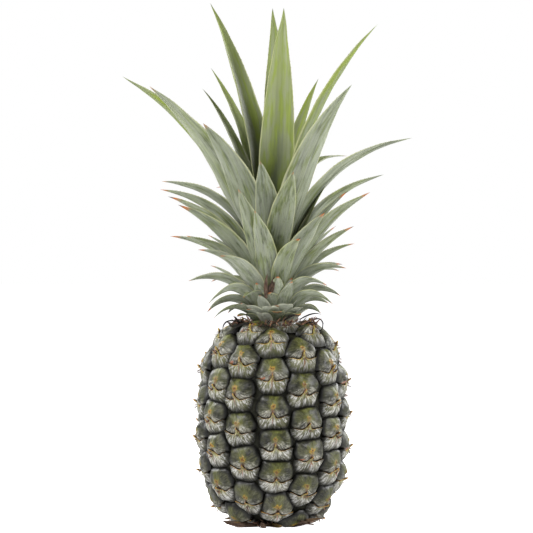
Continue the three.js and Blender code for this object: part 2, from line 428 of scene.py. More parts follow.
def cellReachGroup():
    # from an eye's middle, how far its cell reaches in one direction: half way to each neighbour
    tree = bpy.data.node_groups.new("cellReach", "GeometryNodeTree")
    for label, kind in (("Seeds", "Geometry"), ("Eye", "Int"), ("Sideways", "Float"), ("Upwards", "Float"),
                        ("Lift", "Float")):
        tree.interface.new_socket(label, in_out="INPUT", socket_type="NodeSocket" + kind)
    tree.interface.new_socket("Reach", in_out="OUTPUT", socket_type="NodeSocketFloat")
    given = tree.nodes.new("NodeGroupInput").outputs
    seeds = given["Seeds"]
    count = put(tree, "GeometryNodeAttributeDomainSize", {"Geometry": seeds}).outputs[0]

    def sampled(value, index, kind):
        node = put(tree, "GeometryNodeSampleIndex", data_type=kind, domain="POINT", clamp=True)
        feed(tree, node.inputs["Geometry"], seeds)
        feed(tree, node.inputs["Value"], value)
        feed(tree, node.inputs["Index"], index)
        return node.outputs[0]

    position = put(tree, "GeometryNodeInputPosition").outputs[0]
    own = sampled(position, given["Eye"], "FLOAT_VECTOR")
    aside = sampled(named(tree, "aside", "FLOAT_VECTOR"), given["Eye"], "FLOAT_VECTOR")
    upward = sampled(named(tree, "upward", "FLOAT_VECTOR"), given["Eye"], "FLOAT_VECTOR")
    below = sampled(named(tree, "below"), given["Eye"], "FLOAT")
    beyond = sampled(named(tree, "beyond"), given["Eye"], "FLOAT")
    down = calc(tree, "MAXIMUM", times(tree, given["Upwards"], -1.0), 1e-4)
    up = calc(tree, "MAXIMUM", given["Upwards"], 1e-4)
    toFoot = calc(tree, "DIVIDE", total(tree, below, given["Lift"]), down)
    toTop = calc(tree, "DIVIDE", calc(tree, "MAXIMUM", calc(tree, "SUBTRACT", beyond, given["Lift"]), 1.5 * mm), up)
    reach = calc(tree, "MINIMUM", toFoot, toTop)
    for step in [s * way for s in eye["steps"] for way in (1, -1)]:
        index = calc(tree, "ADD", given["Eye"], float(step))
        other = sampled(position, index, "FLOAT_VECTOR")
        apart = vectorCalc(tree, "SUBTRACT", other, own)
        across = vectorCalc(tree, "DOT_PRODUCT", apart, aside)
        along = vectorCalc(tree, "DOT_PRODUCT", apart, upward)
        size = total(tree, times(tree, across, across), times(tree, along, along))
        half = calc(tree, "SUBTRACT", times(tree, size, 0.515),
                    times(tree, along, given["Lift"]))
        toward = total(tree, times(tree, across, given["Sideways"]),
                       times(tree, along, given["Upwards"]))
        distance = calc(tree, "DIVIDE", half, calc(tree, "MAXIMUM", toward, 1e-6))
        missing = total(tree, calc(tree, "LESS_THAN", index, 0.0), calc(tree, "GREATER_THAN", index,
                        calc(tree, "SUBTRACT", count, 0.5)))
        reach = calc(tree, "SMOOTH_MIN", reach, total(tree, distance, missing), 1.6 * mm)
    reach = calc(tree, "MAXIMUM", calc(tree, "MINIMUM", reach, eye["farthest"]), 1.5 * mm)
    feed(tree, tree.nodes.new("NodeGroupOutput").inputs[0], reach)
    return tree


cellReach = cellReachGroup()


def reachOf(tree, seeds, index, sideways, upwards, lift):
    node = put(tree, "GeometryNodeGroup", node_tree=cellReach)
    for label, value in (("Seeds", seeds), ("Eye", index), ("Sideways", sideways), ("Upwards", upwards),
                         ("Lift", lift)):
        feed(tree, node.inputs[label], value)
    return node.outputs[0]


def instancedOnSeeds(tree, seeds, template):
    # one copy of the template at every seed, each vertex keeping its seed's own values
    index = put(tree, "GeometryNodeInputIndex").outputs[0]
    position = put(tree, "GeometryNodeInputPosition").outputs[0]
    marked = stored(tree, seeds, "eyeIndex", index, "INT")
    marked = stored(tree, marked, "seat", position, "FLOAT_VECTOR")
    shape = put(tree, "GeometryNodeObjectInfo", {"Object": template}).outputs["Geometry"]
    copies = put(tree, "GeometryNodeInstanceOnPoints", {"Points": marked, "Instance": shape}).outputs[0]
    return put(tree, "GeometryNodeRealizeInstances", {"Geometry": copies}).outputs[0]


def placedOnFruit(tree, geometry, across, up, out):
    # from local across, up and out to the barrel's curved skin, never lower than the ground
    aside = vectorCalc(tree, "SCALE", named(tree, "aside", "FLOAT_VECTOR"), across)
    upward = vectorCalc(tree, "SCALE", named(tree, "upward", "FLOAT_VECTOR"), up)
    bend = total(tree, times(tree, times(tree, across, across), named(tree, "bendAside")),
                 times(tree, times(tree, up, up), 4.6))
    outward = vectorCalc(tree, "SCALE", named(tree, "outward", "FLOAT_VECTOR"), calc(tree, "SUBTRACT", out, bend))
    place = vectorTotal(tree, named(tree, "seat", "FLOAT_VECTOR"), aside, upward, outward)
    # the whole skin wanders a little, so that no two eyes are alike
    drift = put(tree, "ShaderNodeTexNoise", {"Vector": place, "Scale": 62.0, "Detail": 2.0}).outputs["Color"]
    place = vectorCalc(tree, "ADD", place, vectorCalc(tree, "SCALE", vectorCalc(
        tree, "SUBTRACT", drift, (0.5, 0.5, 0.5)), eye["drift"]))
    parts = put(tree, "ShaderNodeSeparateXYZ", {"Vector": place}).outputs
    safe = put(tree, "ShaderNodeCombineXYZ", {
        "X": parts[0], "Y": parts[1], "Z": calc(tree, "MAXIMUM", parts[2], 0.3 * mm)}).outputs[0]
    return put(tree, "GeometryNodeSetPosition", {"Geometry": geometry, "Position": safe}).outputs[0]


def eyeTree():
    tree, given = geometryTree("growEyes", [
        ("Eye Disc", "Object", None), ("Centre Lift", "Float", eye["centreLift"]),
        ("Nub Lift", "Float", eye["nubLift"]), ("Furrow", "Float", eye["furrow"]),
        ("Lip Depth", "Float", eye["lipDepth"]), ("Rise", "Float", eye["rise"]),
        ("Bulge", "Float", eye["bulge"]), ("Nub", "Float", eye["nub"]), ("Lumps", "Float", eye["lumps"]),
        ("Material", "Material", None)])
    seeds = given["Geometry"]
    body = instancedOnSeeds(tree, seeds, given["Eye Disc"])
    ring, around = named(tree, "ring"), named(tree, "around")
    sideways, upwards = calc(tree, "COSINE", around), calc(tree, "SINE", around)
    reach = reachOf(tree, seeds, named(tree, "eyeIndex", "INT"), sideways, upwards, given["Centre Lift"])
    fromDown = calc(tree, "DIVIDE", calc(tree, "ARCCOSINE", times(tree, upwards, -0.9999)), math.pi)
    lip = times(tree, drawnCurve(tree, fromDown, eye["lipLine"]), eye["lipScale"])
    # no dome is wider or higher than a rounded oval
    oval = total(tree, *[calc(tree, "POWER", calc(tree, "DIVIDE", calc(tree, "ABSOLUTE", part), size), eye["roundness"])
                         for part, size in ((sideways, eye["halfWidth"]), (upwards, eye["halfHeight"]))])
    sideLimit = calc(tree, "POWER", oval, -1 / eye["roundness"])
    reach = calc(tree, "SMOOTH_MIN", calc(tree, "SUBTRACT", reach, eye["gap"]), sideLimit, eye["corner"])
    reach = calc(tree, "SMOOTH_MIN", reach, lip, 0.6 * mm)
    across = times(tree, times(tree, reach, ring), sideways)
    up = total(tree, times(tree, times(tree, reach, ring), upwards), given["Centre Lift"])
    aboveLip = ease(tree, fromDown, 0.36, 0.52)
    floor = times(tree, mixed(tree, aboveLip, given["Lip Depth"], given["Furrow"]), -1.0)
    cap = calc(tree, "POWER", calc(tree, "SUBTRACT", 1.0, calc(tree, "POWER", ring, eye["capPower"])),
               eye["capRound"])
    out = mixed(tree, cap, floor, given["Rise"])
    beside = calc(tree, "ABSOLUTE", across)
    fromLobe = calc(tree, "SQRT", total(
        tree,
        calc(tree, "POWER", calc(tree, "SUBTRACT", beside, eye["bulgeAside"]), 2.0),
        calc(tree, "POWER", calc(tree, "SUBTRACT", up, eye["bulgeLift"]), 2.0)))
    lobes = times(tree, hump(tree, fromLobe, eye["bulgeWidth"]), given["Bulge"])
    fromNub = calc(tree, "SQRT", total(
        tree,
        calc(tree, "POWER", times(tree, across, 0.8), 2.0),
        calc(tree, "POWER", calc(tree, "SUBTRACT", up, given["Nub Lift"]), 2.0)))
    nub = times(tree, hump(tree, fromNub, 1.7 * mm), given["Nub"])
    pit = times(tree, hump(tree, fromNub, 0.6 * mm), -0.9 * mm)
    seam = times(tree, hump(tree, across, 0.7 * mm), ease(tree, up, 6 * mm, 9 * mm, 0, -0.45 * mm))
    seamLine = calc(tree, "SUBTRACT", calc(tree, "SUBTRACT", up, given["Nub Lift"]),
                    times(tree, beside, -0.42))
    sideSeam = times(tree, hump(tree, seamLine, 0.8 * mm),
                    ease(tree, beside, 1 * mm, 3 * mm, 0, -0.6 * mm))
    place = put(tree, "GeometryNodeInputPosition").outputs[0]
    spot = vectorTotal(tree, named(tree, "seat", "FLOAT_VECTOR"), vectorCalc(tree, "SCALE", place, 1.0))
    lumps = times(tree, calc(tree, "SUBTRACT", noiseOf(tree, spot, 170.0, 2.0), 0.5), given["Lumps"])
    out = total(tree, out, times(tree, total(tree, lobes, lumps), cap), nub, pit, seam, sideSeam)
    placed = placedOnFruit(tree, body, across, up, out)
    placed = stored(tree, placed, "eyeAcross", calc(tree, "DIVIDE", across, 14 * mm))
    placed = stored(tree, placed, "eyeUp", calc(tree, "DIVIDE", up, 14 * mm))
    merged = put(tree, "GeometryNodeMergeByDistance", {"Geometry": placed, "Distance": 0.01 * mm}).outputs[0]
    finishTree(tree, merged, given["Material"])
    return tree


def eyeDisc():
    # a flat disc of rings and spokes, closer together toward the rim where the dome falls away
    points, ring, around = [(0, 0, 0)], [0.0], [0.0]
    for i in range(1, eye["rings"] + 1):
        share = 1 - (1 - i / eye["rings"]) ** 1.5
        for j in range(eye["spokes"]):
            angle = 2 * math.pi * j / eye["spokes"] - math.pi / 2
            points.append((share * math.cos(angle) * 10 * mm, share * math.sin(angle) * 10 * mm, 0))
            ring.append(share)
            around.append(angle)
    spokes = eye["spokes"]
    faces = [(0, 1 + j, 1 + (j + 1) % spokes) for j in range(spokes)]
    for i in range(eye["rings"] - 1):
        for j in range(spokes):
            k = (j + 1) % spokes
            low = 1 + i * spokes
            faces.append((low + j, low + spokes + j, low + spokes + k, low + k))
    return helperPiece(meshPiece("eyeDisc", points, faces, {"ring": ring, "around": around}))


def eyeMaterial():
    material, tree, shader = newMaterial("eyeSkin")
    across, up = attribute(tree, "eyeAcross"), attribute(tree, "eyeUp")
    ring, tint, grade = attribute(tree, "ring"), attribute(tree, "tint"), attribute(tree, "grade")
    marks = useGroup(tree, speckle, {"Place": objectPlace(tree), "Cloud Scale": 140.0, "Grain Scale": 900.0})
    # streaks that run out from the nub like fine white scurf
    aboveNub = calc(tree, "SUBTRACT", up, 0.3)
    outFromNub = calc(tree, "SQRT", total(
        tree, calc(tree, "POWER", across, 2.0), calc(tree, "POWER", aboveNub, 2.0), 0.0001))
    spoke = put(tree, "ShaderNodeCombineXYZ", {
        "X": times(tree, calc(tree, "DIVIDE", across, outFromNub), 5.0),
        "Y": times(tree, calc(tree, "DIVIDE", aboveNub, outFromNub), 5.0),
        "Z": total(tree, times(tree, outFromNub, 2.2), times(tree, tint, 40.0))}).outputs[0]
    streaks = ease(tree, noiseOf(tree, spoke, 1.6, 4.0, 0.75), 0.42, 0.68)
    olive = colourMix(tree, marks["Cloud"], "#0a0a04", "#35370d")
    silver = colourMix(tree, marks["Cloud"], "#292822", "#8b887c")
    beside = calc(tree, "ABSOLUTE", across)
    # the lower lobes and the rim are silver, the crown of each eye is olive
    lobe = ease(tree, total(tree, up, times(tree, beside, 0.42),
                            times(tree, marks["Cloud"], -0.2)), 0.4, -0.05)
    silverShare = total(tree, times(tree, lobe, 0.52),
                        times(tree, ease(tree, grade, 0.95, 0.1), 0.08),
                        times(tree, calc(tree, "SUBTRACT", tint, 0.5), 0.2))
    skin = colourMix(tree, put(tree, "ShaderNodeClamp", {"Value": silverShare}).outputs[0], olive, silver)
    yellowTop = times(tree, ease(tree, up, 0.35, 0.85), ease(tree, beside, 0.6, 0.05))
    yellowTop = times(tree, yellowTop, times(
        tree, ease(tree, grade, 0.0, 0.8, 0.35, 0.95), marks["Cloud"]))
    skin = colourMix(tree, yellowTop, skin, "#5f631d")
    scurf = times(tree, streaks, ease(tree, marks["Grain"], 0, 1, 0.25, 0.75))
    skin = colourMix(tree, times(tree, ease(tree, streaks, 0.3, 0.0), 0.4), skin, "#0c0d06")
    scurfShare = times(tree, scurf, total(tree, 0.09, times(tree, lobe, 0.75)))
    skin = colourMix(tree, scurfShare, skin, "#dcdad0")
    # painted shade: each dome darkens to near black toward its rim, where it falls away into the furrows
    skin = colourMix(tree, ease(tree, ring, 0.8, 0.97), skin, "#070704")
    fromNub = calc(tree, "SQRT", total(
        tree,
        calc(tree, "POWER", times(tree, across, 0.9), 2.0),
        calc(tree, "POWER", calc(tree, "SUBTRACT", up, eye["nubLift"] / (14 * mm)), 2.0)))
    crumbs = noiseOf(tree, objectPlace(tree), 620.0, 2.0, 0.6)
    ragged = total(tree, fromNub, times(tree, calc(tree, "SUBTRACT", streaks, 0.5), 0.12),
                   times(tree, calc(tree, "SUBTRACT", crumbs, 0.5), 0.35))
    skin = colourMix(tree, times(tree, ease(tree, ragged, 0.34, 0.12), 0.5), skin, "#5a5c22")
    gold = times(tree, ease(tree, ragged, 0.13, 0.05), ease(tree, tint, 0.0, 1.0, 0.35, 0.9))
    skin = colourMix(tree, gold, skin, "#a88424")
    skin = colourMix(tree, ease(tree, ragged, 0.06, 0.0), skin, "#4e2c10")
    # below the nub the crease between the lobes is dry and brown
    crease = times(tree, hump(tree, across, 0.09), ease(tree, up, 0.34, 0.2))
    skin = colourMix(tree, times(tree, crease, ease(tree, crumbs, 0.4, 0.6)), skin, "#6b4c3c")
    # a dry tan fleck on the left lobe of about half the eyes
    fleckAcross = calc(tree, "DIVIDE", total(tree, across, 0.55), 0.17)
    fleckUp = calc(tree, "DIVIDE", total(tree, up, 0.02, times(tree, across, -0.15)), 0.055)
    fleck = calc(tree, "SQRT", total(tree, calc(tree, "POWER", fleckAcross, 2.0), calc(tree, "POWER", fleckUp, 2.0)))
    fleck = times(tree, ease(tree, total(tree, fleck, marks["Grain"]), 1.5, 1.1),
                 calc(tree, "GREATER_THAN", tint, 0.66))
    skin = colourMix(tree, fleck, skin, "#85523a")
    feed(tree, shader.inputs["Base Color"], skin)
    shader.inputs["Specular IOR Level"].default_value = 0.3
    shader.inputs["Coat Weight"].default_value = 0.07
    shader.inputs["Coat Roughness"].default_value = 0.28
    feed(tree, shader.inputs["Roughness"], ease(tree, marks["Cloud"], 0, 1, 0.36, 0.55))
    bumped(tree, shader, marks["Height"], 0.35 * mm, 0.7)
    return material


disc = eyeDisc()
fruitEyes = grow(seedPiece("fruitEyes"), eyeTree(), {"Eye Disc": disc, "Material": eyeMaterial()})
print("eyes grown:", len(fruitEyes.data.polygons), "faces")


# The bracts: a fibrous scale under each dome, with a free lip and a pointed tip.

bract = {
    "columns": 41, "halfSpan": 66,          # columns across, degrees to each side of straight down
    "halfWidth": 13.2 * mm, "cornerDrop": 6.5 * mm, "taper": 0.24,   # width at its corners, and how it narrows below
    "rows": (-1, -0.5, 0, 0.025, 0.06, 0.12, 0.2, 0.32, 0.46, 0.6, 0.74, 0.86, 0.95, 1),
    "lipLevel": 0.9 * mm, "tipLevel": 3.4 * mm, "tuck": 2.2 * mm,
}


def bractTree():
    tree, given = geometryTree("growBracts", [
        ("Bract Fan", "Object", None), ("Centre Lift", "Float", eye["centreLift"]),
        ("Furrow", "Float", eye["furrow"]), ("Lip Level", "Float", bract["lipLevel"]),
        ("Tip Level", "Float", bract["tipLevel"]), ("Tuck", "Float", bract["tuck"]),
        ("Material", "Material", None)])
    seeds = given["Geometry"]
    body = instancedOnSeeds(tree, seeds, given["Bract Fan"])
    fan, fall = named(tree, "fan"), named(tree, "fall")
    angle = times(tree, fan, math.radians(bract["halfSpan"]))
    sideways = calc(tree, "SINE", angle)
    upwards = times(tree, calc(tree, "COSINE", angle), -1.0)
    cell = reachOf(tree, seeds, named(tree, "eyeIndex", "INT"), sideways, upwards, given["Centre Lift"])
    fromDown = calc(tree, "DIVIDE", calc(tree, "ABSOLUTE", angle), math.pi)
    lip = times(tree, drawnCurve(tree, fromDown, eye["lipLine"]), eye["lipScale"])
    taper = total(tree, calc(tree, "ABSOLUTE", sideways), times(tree, upwards, -bract["taper"]))
    taper = calc(tree, "DIVIDE", bract["halfWidth"] + bract["taper"] * bract["cornerDrop"], taper)
    cell = calc(tree, "SMOOTH_MIN", cell, taper, 3 * mm)
    lip = calc(tree, "MINIMUM", total(tree, lip, 0.05 * mm), times(tree, cell, 0.95))
    tip = hump(tree, fromDown, 0.06)
    lip = calc(tree, "SUBTRACT", lip, times(tree, tip, 1.1 * mm))
    downward = calc(tree, "MAXIMUM", fall, 0.0)
    under = calc(tree, "MAXIMUM", times(tree, fall, -1.0), 0.0)
    reach = mixed(tree, downward, lip, times(tree, cell, 0.99))
    reach = total(tree, reach, times(tree, under, 0.5 * mm))
    across = times(tree, reach, sideways)
    up = total(tree, times(tree, reach, upwards), given["Centre Lift"])
    fromApex = calc(tree, "SQRT", total(
        tree, calc(tree, "POWER", across, 2.0),
        calc(tree, "POWER", calc(tree, "SUBTRACT", up, 0.9 * mm), 2.0)))
    raised = calc(tree, "MAXIMUM", hump(tree, fromApex, 2.3 * mm), times(tree, tip, 0.35))
    level = calc(tree, "SUBTRACT", times(tree, raised, total(tree, given["Tip Level"], given["Lip Level"])),
                 given["Lip Level"])
    bow = times(tree, hump(tree, across, 7 * mm), 0.7 * mm)
    sink = calc(tree, "POWER", downward, 3.2)
    out = mixed(tree, sink, total(tree, level, bow), times(tree, given["Furrow"], -1.0))
    out = calc(tree, "SUBTRACT", out, times(tree, under, given["Tuck"]))
    ridgePlace = put(tree, "ShaderNodeCombineXYZ", {
        "X": times(tree, fan, 26.0), "Y": times(tree, downward, 1.5),
        "Z": times(tree, named(tree, "tint"), 50.0)}).outputs[0]
    ridges = times(tree, calc(tree, "SUBTRACT", noiseOf(tree, ridgePlace, 1.0, 2.0), 0.5), 0.9 * mm)
    out = total(tree, out, ridges)
    placed = placedOnFruit(tree, body, across, up, out)
    placed = stored(tree, placed, "eyeAcross", calc(tree, "DIVIDE", across, 14 * mm))
    placed = stored(tree, placed, "eyeUp", calc(tree, "DIVIDE", up, 14 * mm))
    finishTree(tree, placed, given["Material"])
    return tree


def bractFan():
    points, fan, fall = [], [], []
    for row in bract["rows"]:
        for j in range(bract["columns"]):
            side = 2 * j / (bract["columns"] - 1) - 1
            side = math.copysign(abs(side) ** 1.35, side)      # closer together at the pointed tip
            points.append((side * 10 * mm, -row * 10 * mm, 0))
            fan.append(side)
            fall.append(row)
    faces = [tuple(reversed(f)) for f in gridFaces(len(bract["rows"]), bract["columns"])]
    return helperPiece(meshPiece("bractFan", points, faces, {"fan": fan, "fall": fall}))


def bractMaterial():
    material, tree, shader = newMaterial("bractSkin")
    fan, fall, tint = attribute(tree, "fan"), attribute(tree, "fall"), attribute(tree, "tint")
    up, grade = attribute(tree, "eyeUp"), attribute(tree, "grade")
    lines = useGroup(tree, fibre, {"Across": fan, "Along": times(tree, fall, 2.2),
                                   "Fineness": 62.0, "Offset": times(tree, tint, 40.0)})
    marks = useGroup(tree, speckle, {"Place": objectPlace(tree), "Cloud Scale": 120.0, "Grain Scale": 1100.0})
    pale = colourMix(tree, marks["Cloud"], "#565349", "#a6a399")
    skin = colourMix(tree, times(tree, lines["Lines"], 0.8), pale, "#24241c")
    white = times(tree, ease(tree, lines["Broad"], 0.35, 0.9), ease(tree, marks["Grain"], 0, 1, 0.45, 1.0))
    white = times(tree, white, ease(tree, grade, 0.6, 1.0, 1.0, 0.45))
    skin = colourMix(tree, times(tree, white, 0.66), skin, "#e9e9e6")
    green = times(tree, ease(tree, grade, 0.1, 1.0, 0.1, 0.75), ease(tree, lines["Broad"], 0.8, 0.2))
    skin = colourMix(tree, green, skin, "#4c4f20")
    # painted shade: the bract darkens to near black toward its foot, where it sinks into the furrow, and toward its
    # sides under the neighbouring domes
    shade = ease(tree, fall, 0.5, 0.97)
    skin = colourMix(tree, times(tree, shade, 0.9), skin, "#0c0c07")
    sides = ease(tree, calc(tree, "ABSOLUTE", fan), 0.66, 0.98)
    skin = colourMix(tree, times(tree, sides, 0.85), skin, "#121209")
    # yellow green runs into the pointed tip, which is dry and brown at its very end
    centre = hump(tree, fan, 0.3)
    tipGreen = times(tree, times(tree, centre, ease(tree, fall, 0.5, 0.05)),
                    ease(tree, lines["Lines"], 0.0, 1.0, 0.95, 0.3))
    skin = colourMix(tree, tipGreen, skin, "#b3b062")
    dry = times(tree, hump(tree, fan, 0.16), ease(tree, up, -0.06, 0.08))
    skin = colourMix(tree, times(tree, dry, ease(tree, lines["Broad"], 0.0, 0.6, 0.6, 1.0)),
                     skin, "#8a5a34")
    streak = times(tree, hump(tree, total(tree, fan, 0.03), 0.024), ease(tree, fall, 0.8, 0.3))
    skin = colourMix(tree, times(tree, streak, calc(tree, "GREATER_THAN", tint, 0.4)),
                     skin, "#a05e4a")
    lipWidth = ease(tree, grade, 0.7, 1.0, 0.05, 0.14)
    lipEdge = times(tree, ease(tree, fall, lipWidth, 0.0), ease(tree, fall, -0.8, -0.1))
    lipColour = colourMix(tree, ease(tree, grade, 0.6, 1.0), "#b98f4a", "#b59428")
    skin = colourMix(tree, times(tree, lipEdge, 0.85), skin, lipColour)
    # painted shade: the part tucked up under the dome is near black
    skin = colourMix(tree, ease(tree, fall, -0.2, -0.8), skin, "#0e0d08")
    feed(tree, shader.inputs["Base Color"], skin)
    shader.inputs["Specular IOR Level"].default_value = 0.25
    feed(tree, shader.inputs["Roughness"], ease(tree, lines["Lines"], 0, 1, 0.45, 0.65))
    bumped(tree, shader, total(tree, lines["Lines"], times(tree, marks["Grain"], 0.5)), 0.3 * mm, 0.7)
    return material


fan = bractFan()
bractSkin = bractMaterial()
fruitBracts = grow(seedPiece("fruitBracts"), bractTree(), {"Bract Fan": fan, "Material": bractSkin})
print("bracts grown:", len(fruitBracts.data.polygons), "faces")


# The fruit's dark core under the eyes, its hollow foot and its top.

def coreMaterial():
    material, tree, shader = newMaterial("furrowSkin")
    marks = useGroup(tree, speckle, {"Place": objectPlace(tree), "Cloud Scale": 90.0, "Grain Scale": 500.0})
    # painted shade: the core, seen only deep in the furrows between the eyes, is near black for the shade there; the
    # brown near the ground is the dry foot's own colour
    skin = colourMix(tree, marks["Cloud"], "#0a0b06", "#1a1a0f")
    low = ease(tree, put(tree, "ShaderNodeSeparateXYZ", {"Vector": objectPlace(tree)}).outputs[2], 4 * mm, 1 * mm)
    skin = colourMix(tree, times(tree, low, 0.8), skin, "#5a4229")
    feed(tree, shader.inputs["Base Color"], skin)
    feed(tree, shader.inputs["Roughness"], ease(tree, marks["Grain"], 0, 1, 0.6, 0.85))
    shader.inputs["Specular IOR Level"].default_value = 0.15
    bumped(tree, shader, marks["Height"], 0.8 * mm, 0.8)
    return material


def fruitCore():
    columns = 96
    rings = [(fruit["hollow"], fruit["hollowDepth"]), (fruit["hollow"], 0.9 * mm),
             (fruit["hollow"] + 0.8 * mm, 0.2 * mm), (21 * mm, 0.2 * mm)]
    wholeLength = outline[-1][2]
    for i in range(41):
        height, radius, rise, spread = outlineFrame(wholeLength * i / 40)
        rings.append((radius - rise * fruit["coreDepth"], max(height + spread * fruit["coreDepth"], 0.2 * mm)))
    lastRadius, lastHeight = rings[-1]
    for share in (0.8, 0.6, 0.4, 0.2):
        rings.append((lastRadius * share, lastHeight))
    points = [(0, 0, fruit["hollowDepth"])]
    for radius, height in rings:
        points += [turned(360 * j / columns) * radius + Vector((0, 0, height)) for j in range(columns)]
    points.append((0, 0, lastHeight))
    faces = []
    last = len(points) - 1
    for j in range(columns):
        k = (j + 1) % columns
        faces.append((0, 1 + k, 1 + j))
        faces.append((last, last - columns + j, last - columns + k))
    faces += [tuple(1 + n for n in f) for f in gridFaces(len(rings), columns, True)]
    piece = meshPiece("fruitCore", points, faces)
    piece.data.materials.append(coreMaterial())
    return piece


core = fruitCore()
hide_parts("fruit_body")
for piece in (core, fruitEyes, fruitBracts):
    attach(piece, "root")
print("fruit core made")


# Leaves: a channelled section carried along a bowed spine.

leafSizes = {
    "crownBase": fruit["top"],
    "footRadius": 15 * mm, "headRadius": 6 * mm, "coneHeight": 66 * mm,
    "steps": 40, "rollSpan": 0.4, "wave": 2.2 * mm, "swingScale": 22.0, "rippleScale": 85.0, "rippleShare": 0.35,
    "thornsEnd": 0.9,
    # share of the full width from foot to tip
    "widthLine": [(0, 0.76), (0.18, 0.88), (0.36, 1), (0.5, 0.93), (0.65, 0.76), (0.8, 0.48), (0.9, 0.26), (1, 0)],
    "bluntLine": [(0, 0.85), (0.35, 1), (0.65, 0.97), (0.85, 0.74), (0.95, 0.42), (1, 0.06)],
    "channel": 0.46, "flatChannel": 0.24, "channelPower": 1.7, "thickness": 0.17, "rim": 0.03,
}

# turn, foot, reach, rise, arch, width, sway, roll, as in the CAD model: turns in degrees from the
# front, heights and lengths in mm above the crown's base and out from its middle
crownLeaves = [
    (180, 60, 14, 241, 0.03, 27, -8, 0),
    (-138, 56, 72, 246, 0.06, 26, 0, 10),
    (118, 54, 88, 230, 0.09, 24, -6, -32),
    (-170, 52, 34, 242, 0.05, 24, -6, 10),
    (-8, 50, 56, 125, 0.05, 20, -2, 0),
    (150, 48, 70, 188, 0.08, 15, 0, 0),
    (16, 46, 60, 117, 0.05, 21, -1, 0),
    (-125, 46, 66, 180, 0.08, 15, 0, 0),
    (-162, 46, 60, 165, 0.08, 21, 0, 0),
    (-150, 44, 96, 197, 0.1, 13, 0, 10),
    (46, 44, 76, 182, 0.08, 25, 6, -15),
    (166, 44, 66, 150, 0.08, 20, 0, 0),
    (-50, 42, 68, 153, 0.06, 27, 0, 20),
    (-98, 38, 116, 189, 0.11, 19, 0, 45),
    (-76, 36, 96, 181, 0.09, 21, 0, 45),
    (96, 36, 107, 142, 0.18, 14, 0, -40),
    (146, 36, 104, 128, 0.26, 15, 0, 0),
    (-166, 34, 84, 128, 0.12, 19, 0, 0),
    (170, 33, 88, 120, 0.14, 19, 0, 0),
    (104, 30, 54, 124, 0.08, 17, 0, 30),
    (-112, 30, 92, 109, 0.2, 16, 0, 40),
    (-150, 30, 88, 104, 0.25, 15, 0, 0),
    (104, 30, 88, 114, 0.16, 14, 0, -40),
    (-26, 28, 60, 104, 0.04, 17, 0, 15),
    (-100, 27, 87, 103, 0.16, 16, 0, 40),
    (138, 27, 72, 94, 0.14, 17, 0, 0),
    (40, 26, 60, 86, 0.06, 18, 0, -15),
    (84, 26, 57, 102, 0.08, 13, 0, -30),
    (-136, 25, 80, 88, 0.14, 17, 0, 0),
    (-13, 24, 60, 88, 0.06, 17, 0, 0),
    (-86, 24, 80, 98, 0.12, 14, 0, 40),
    (-64, 24, 80, 92, 0.1, 18, 0, 25),
    (72, 22, 77, 101, 0.11, 15, 0, -35),
    (178, 22, 84, 78, 0.16, 17, 0, 0),
    (18, 20, 66, 67, 0.14, 15, 0, 0),
    (-74, 20, 68, 68, 0.12, 14, 0, 30),
    (80, 18, 62, 75, 0.1, 13, 0, -35),
    (-97, 18, 79, 67, 0.14, 13, 0, 35),
    (-158, 17, 78, 56, 0.2, 15, 0, 0),
    (155, 17, 78, 54, 0.2, 15, 0, 0),
    (-60, 15, 65, 58, 0.16, 12, 0, 30),
    (98, 14, 63, 62, 0.14, 12, 0, -35),
    (-40, 14, 62, 54, 0.14, 15, 0, 20),
    (90, 13, 53, 46, 0.22, 12, 0, -30),
    (124, 13, 62, 40, 0.22, 13, 0, 0),
    (68, 12, 60, 44, 0.22, 13, 0, -35),
    (-84, 12, 65, 34, 0.2, 12, 0, 35),
    (-112, 12, 52, 45, 0.1, 10, 0, 20),
    (-130, 10, 62, 32, 0.24, 13, 0, 0),
    (50, 9, 54, 31, 0.28, 13, 0, -25),
    (-58, 9, 58, 17, 0.32, 14, 0, 25),
    (82, 8, 52, 22, 0.28, 12, 0, -35),
    (178, 8, 60, 24, 0.28, 14, 0, 0),
    (-9, 4, 27, 26, 0.16, 21, 0, 0),
    (-80, 6, 51, 10, 0.3, 12, 0, 30),
    (58, 5, 54, 17, 0.28, 13, 0, -30),
]


def leafSection(name, channel):
    # the closed outline of a blade's section, for a half width of 1: inner face up, outer face down
    across = [-1, -0.86, -0.66, -0.4, -0.14, 0.14, 0.4, 0.66, 0.86, 1]
    points, sides, inner = [], [], []
    for face in (1, -1):
        for x in across if face == 1 else reversed(across):
            middle = channel * abs(x) ** leafSizes["channelPower"]
            half = leafSizes["thickness"] / 2 * (1 - x * x) ** 0.6 + leafSizes["rim"] / 2
            points.append((x, middle + face * half, 0))
            sides.append(x)
            inner.append(face)
    mesh = bpy.data.meshes.new(name)
    count = len(points)
    mesh.from_pydata(points, [(i, (i + 1) % count) for i in range(count)], [])
    mesh.attributes.new("across", "FLOAT", "POINT").data.foreach_set("value", sides)
    mesh.attributes.new("inner", "FLOAT", "POINT").data.foreach_set("value", inner)
    piece = bpy.data.objects.new(name, mesh)
    bpy.context.scene.collection.objects.link(piece)
    return helperPiece(piece)


def spineCone():
    # one small thorn of a leaf's rim, 1 long along Z
    points = [(0.22, 0.3, 0), (-0.22, 0.3, 0), (-0.22, -0.3, 0), (0.22, -0.3, 0), (0, 0.45, 1)]
    return helperPiece(meshPiece("marginThorn", points, [(3, 2, 1, 0), (0, 1, 4), (1, 2, 4), (2, 3, 4), (3, 0, 4)]))


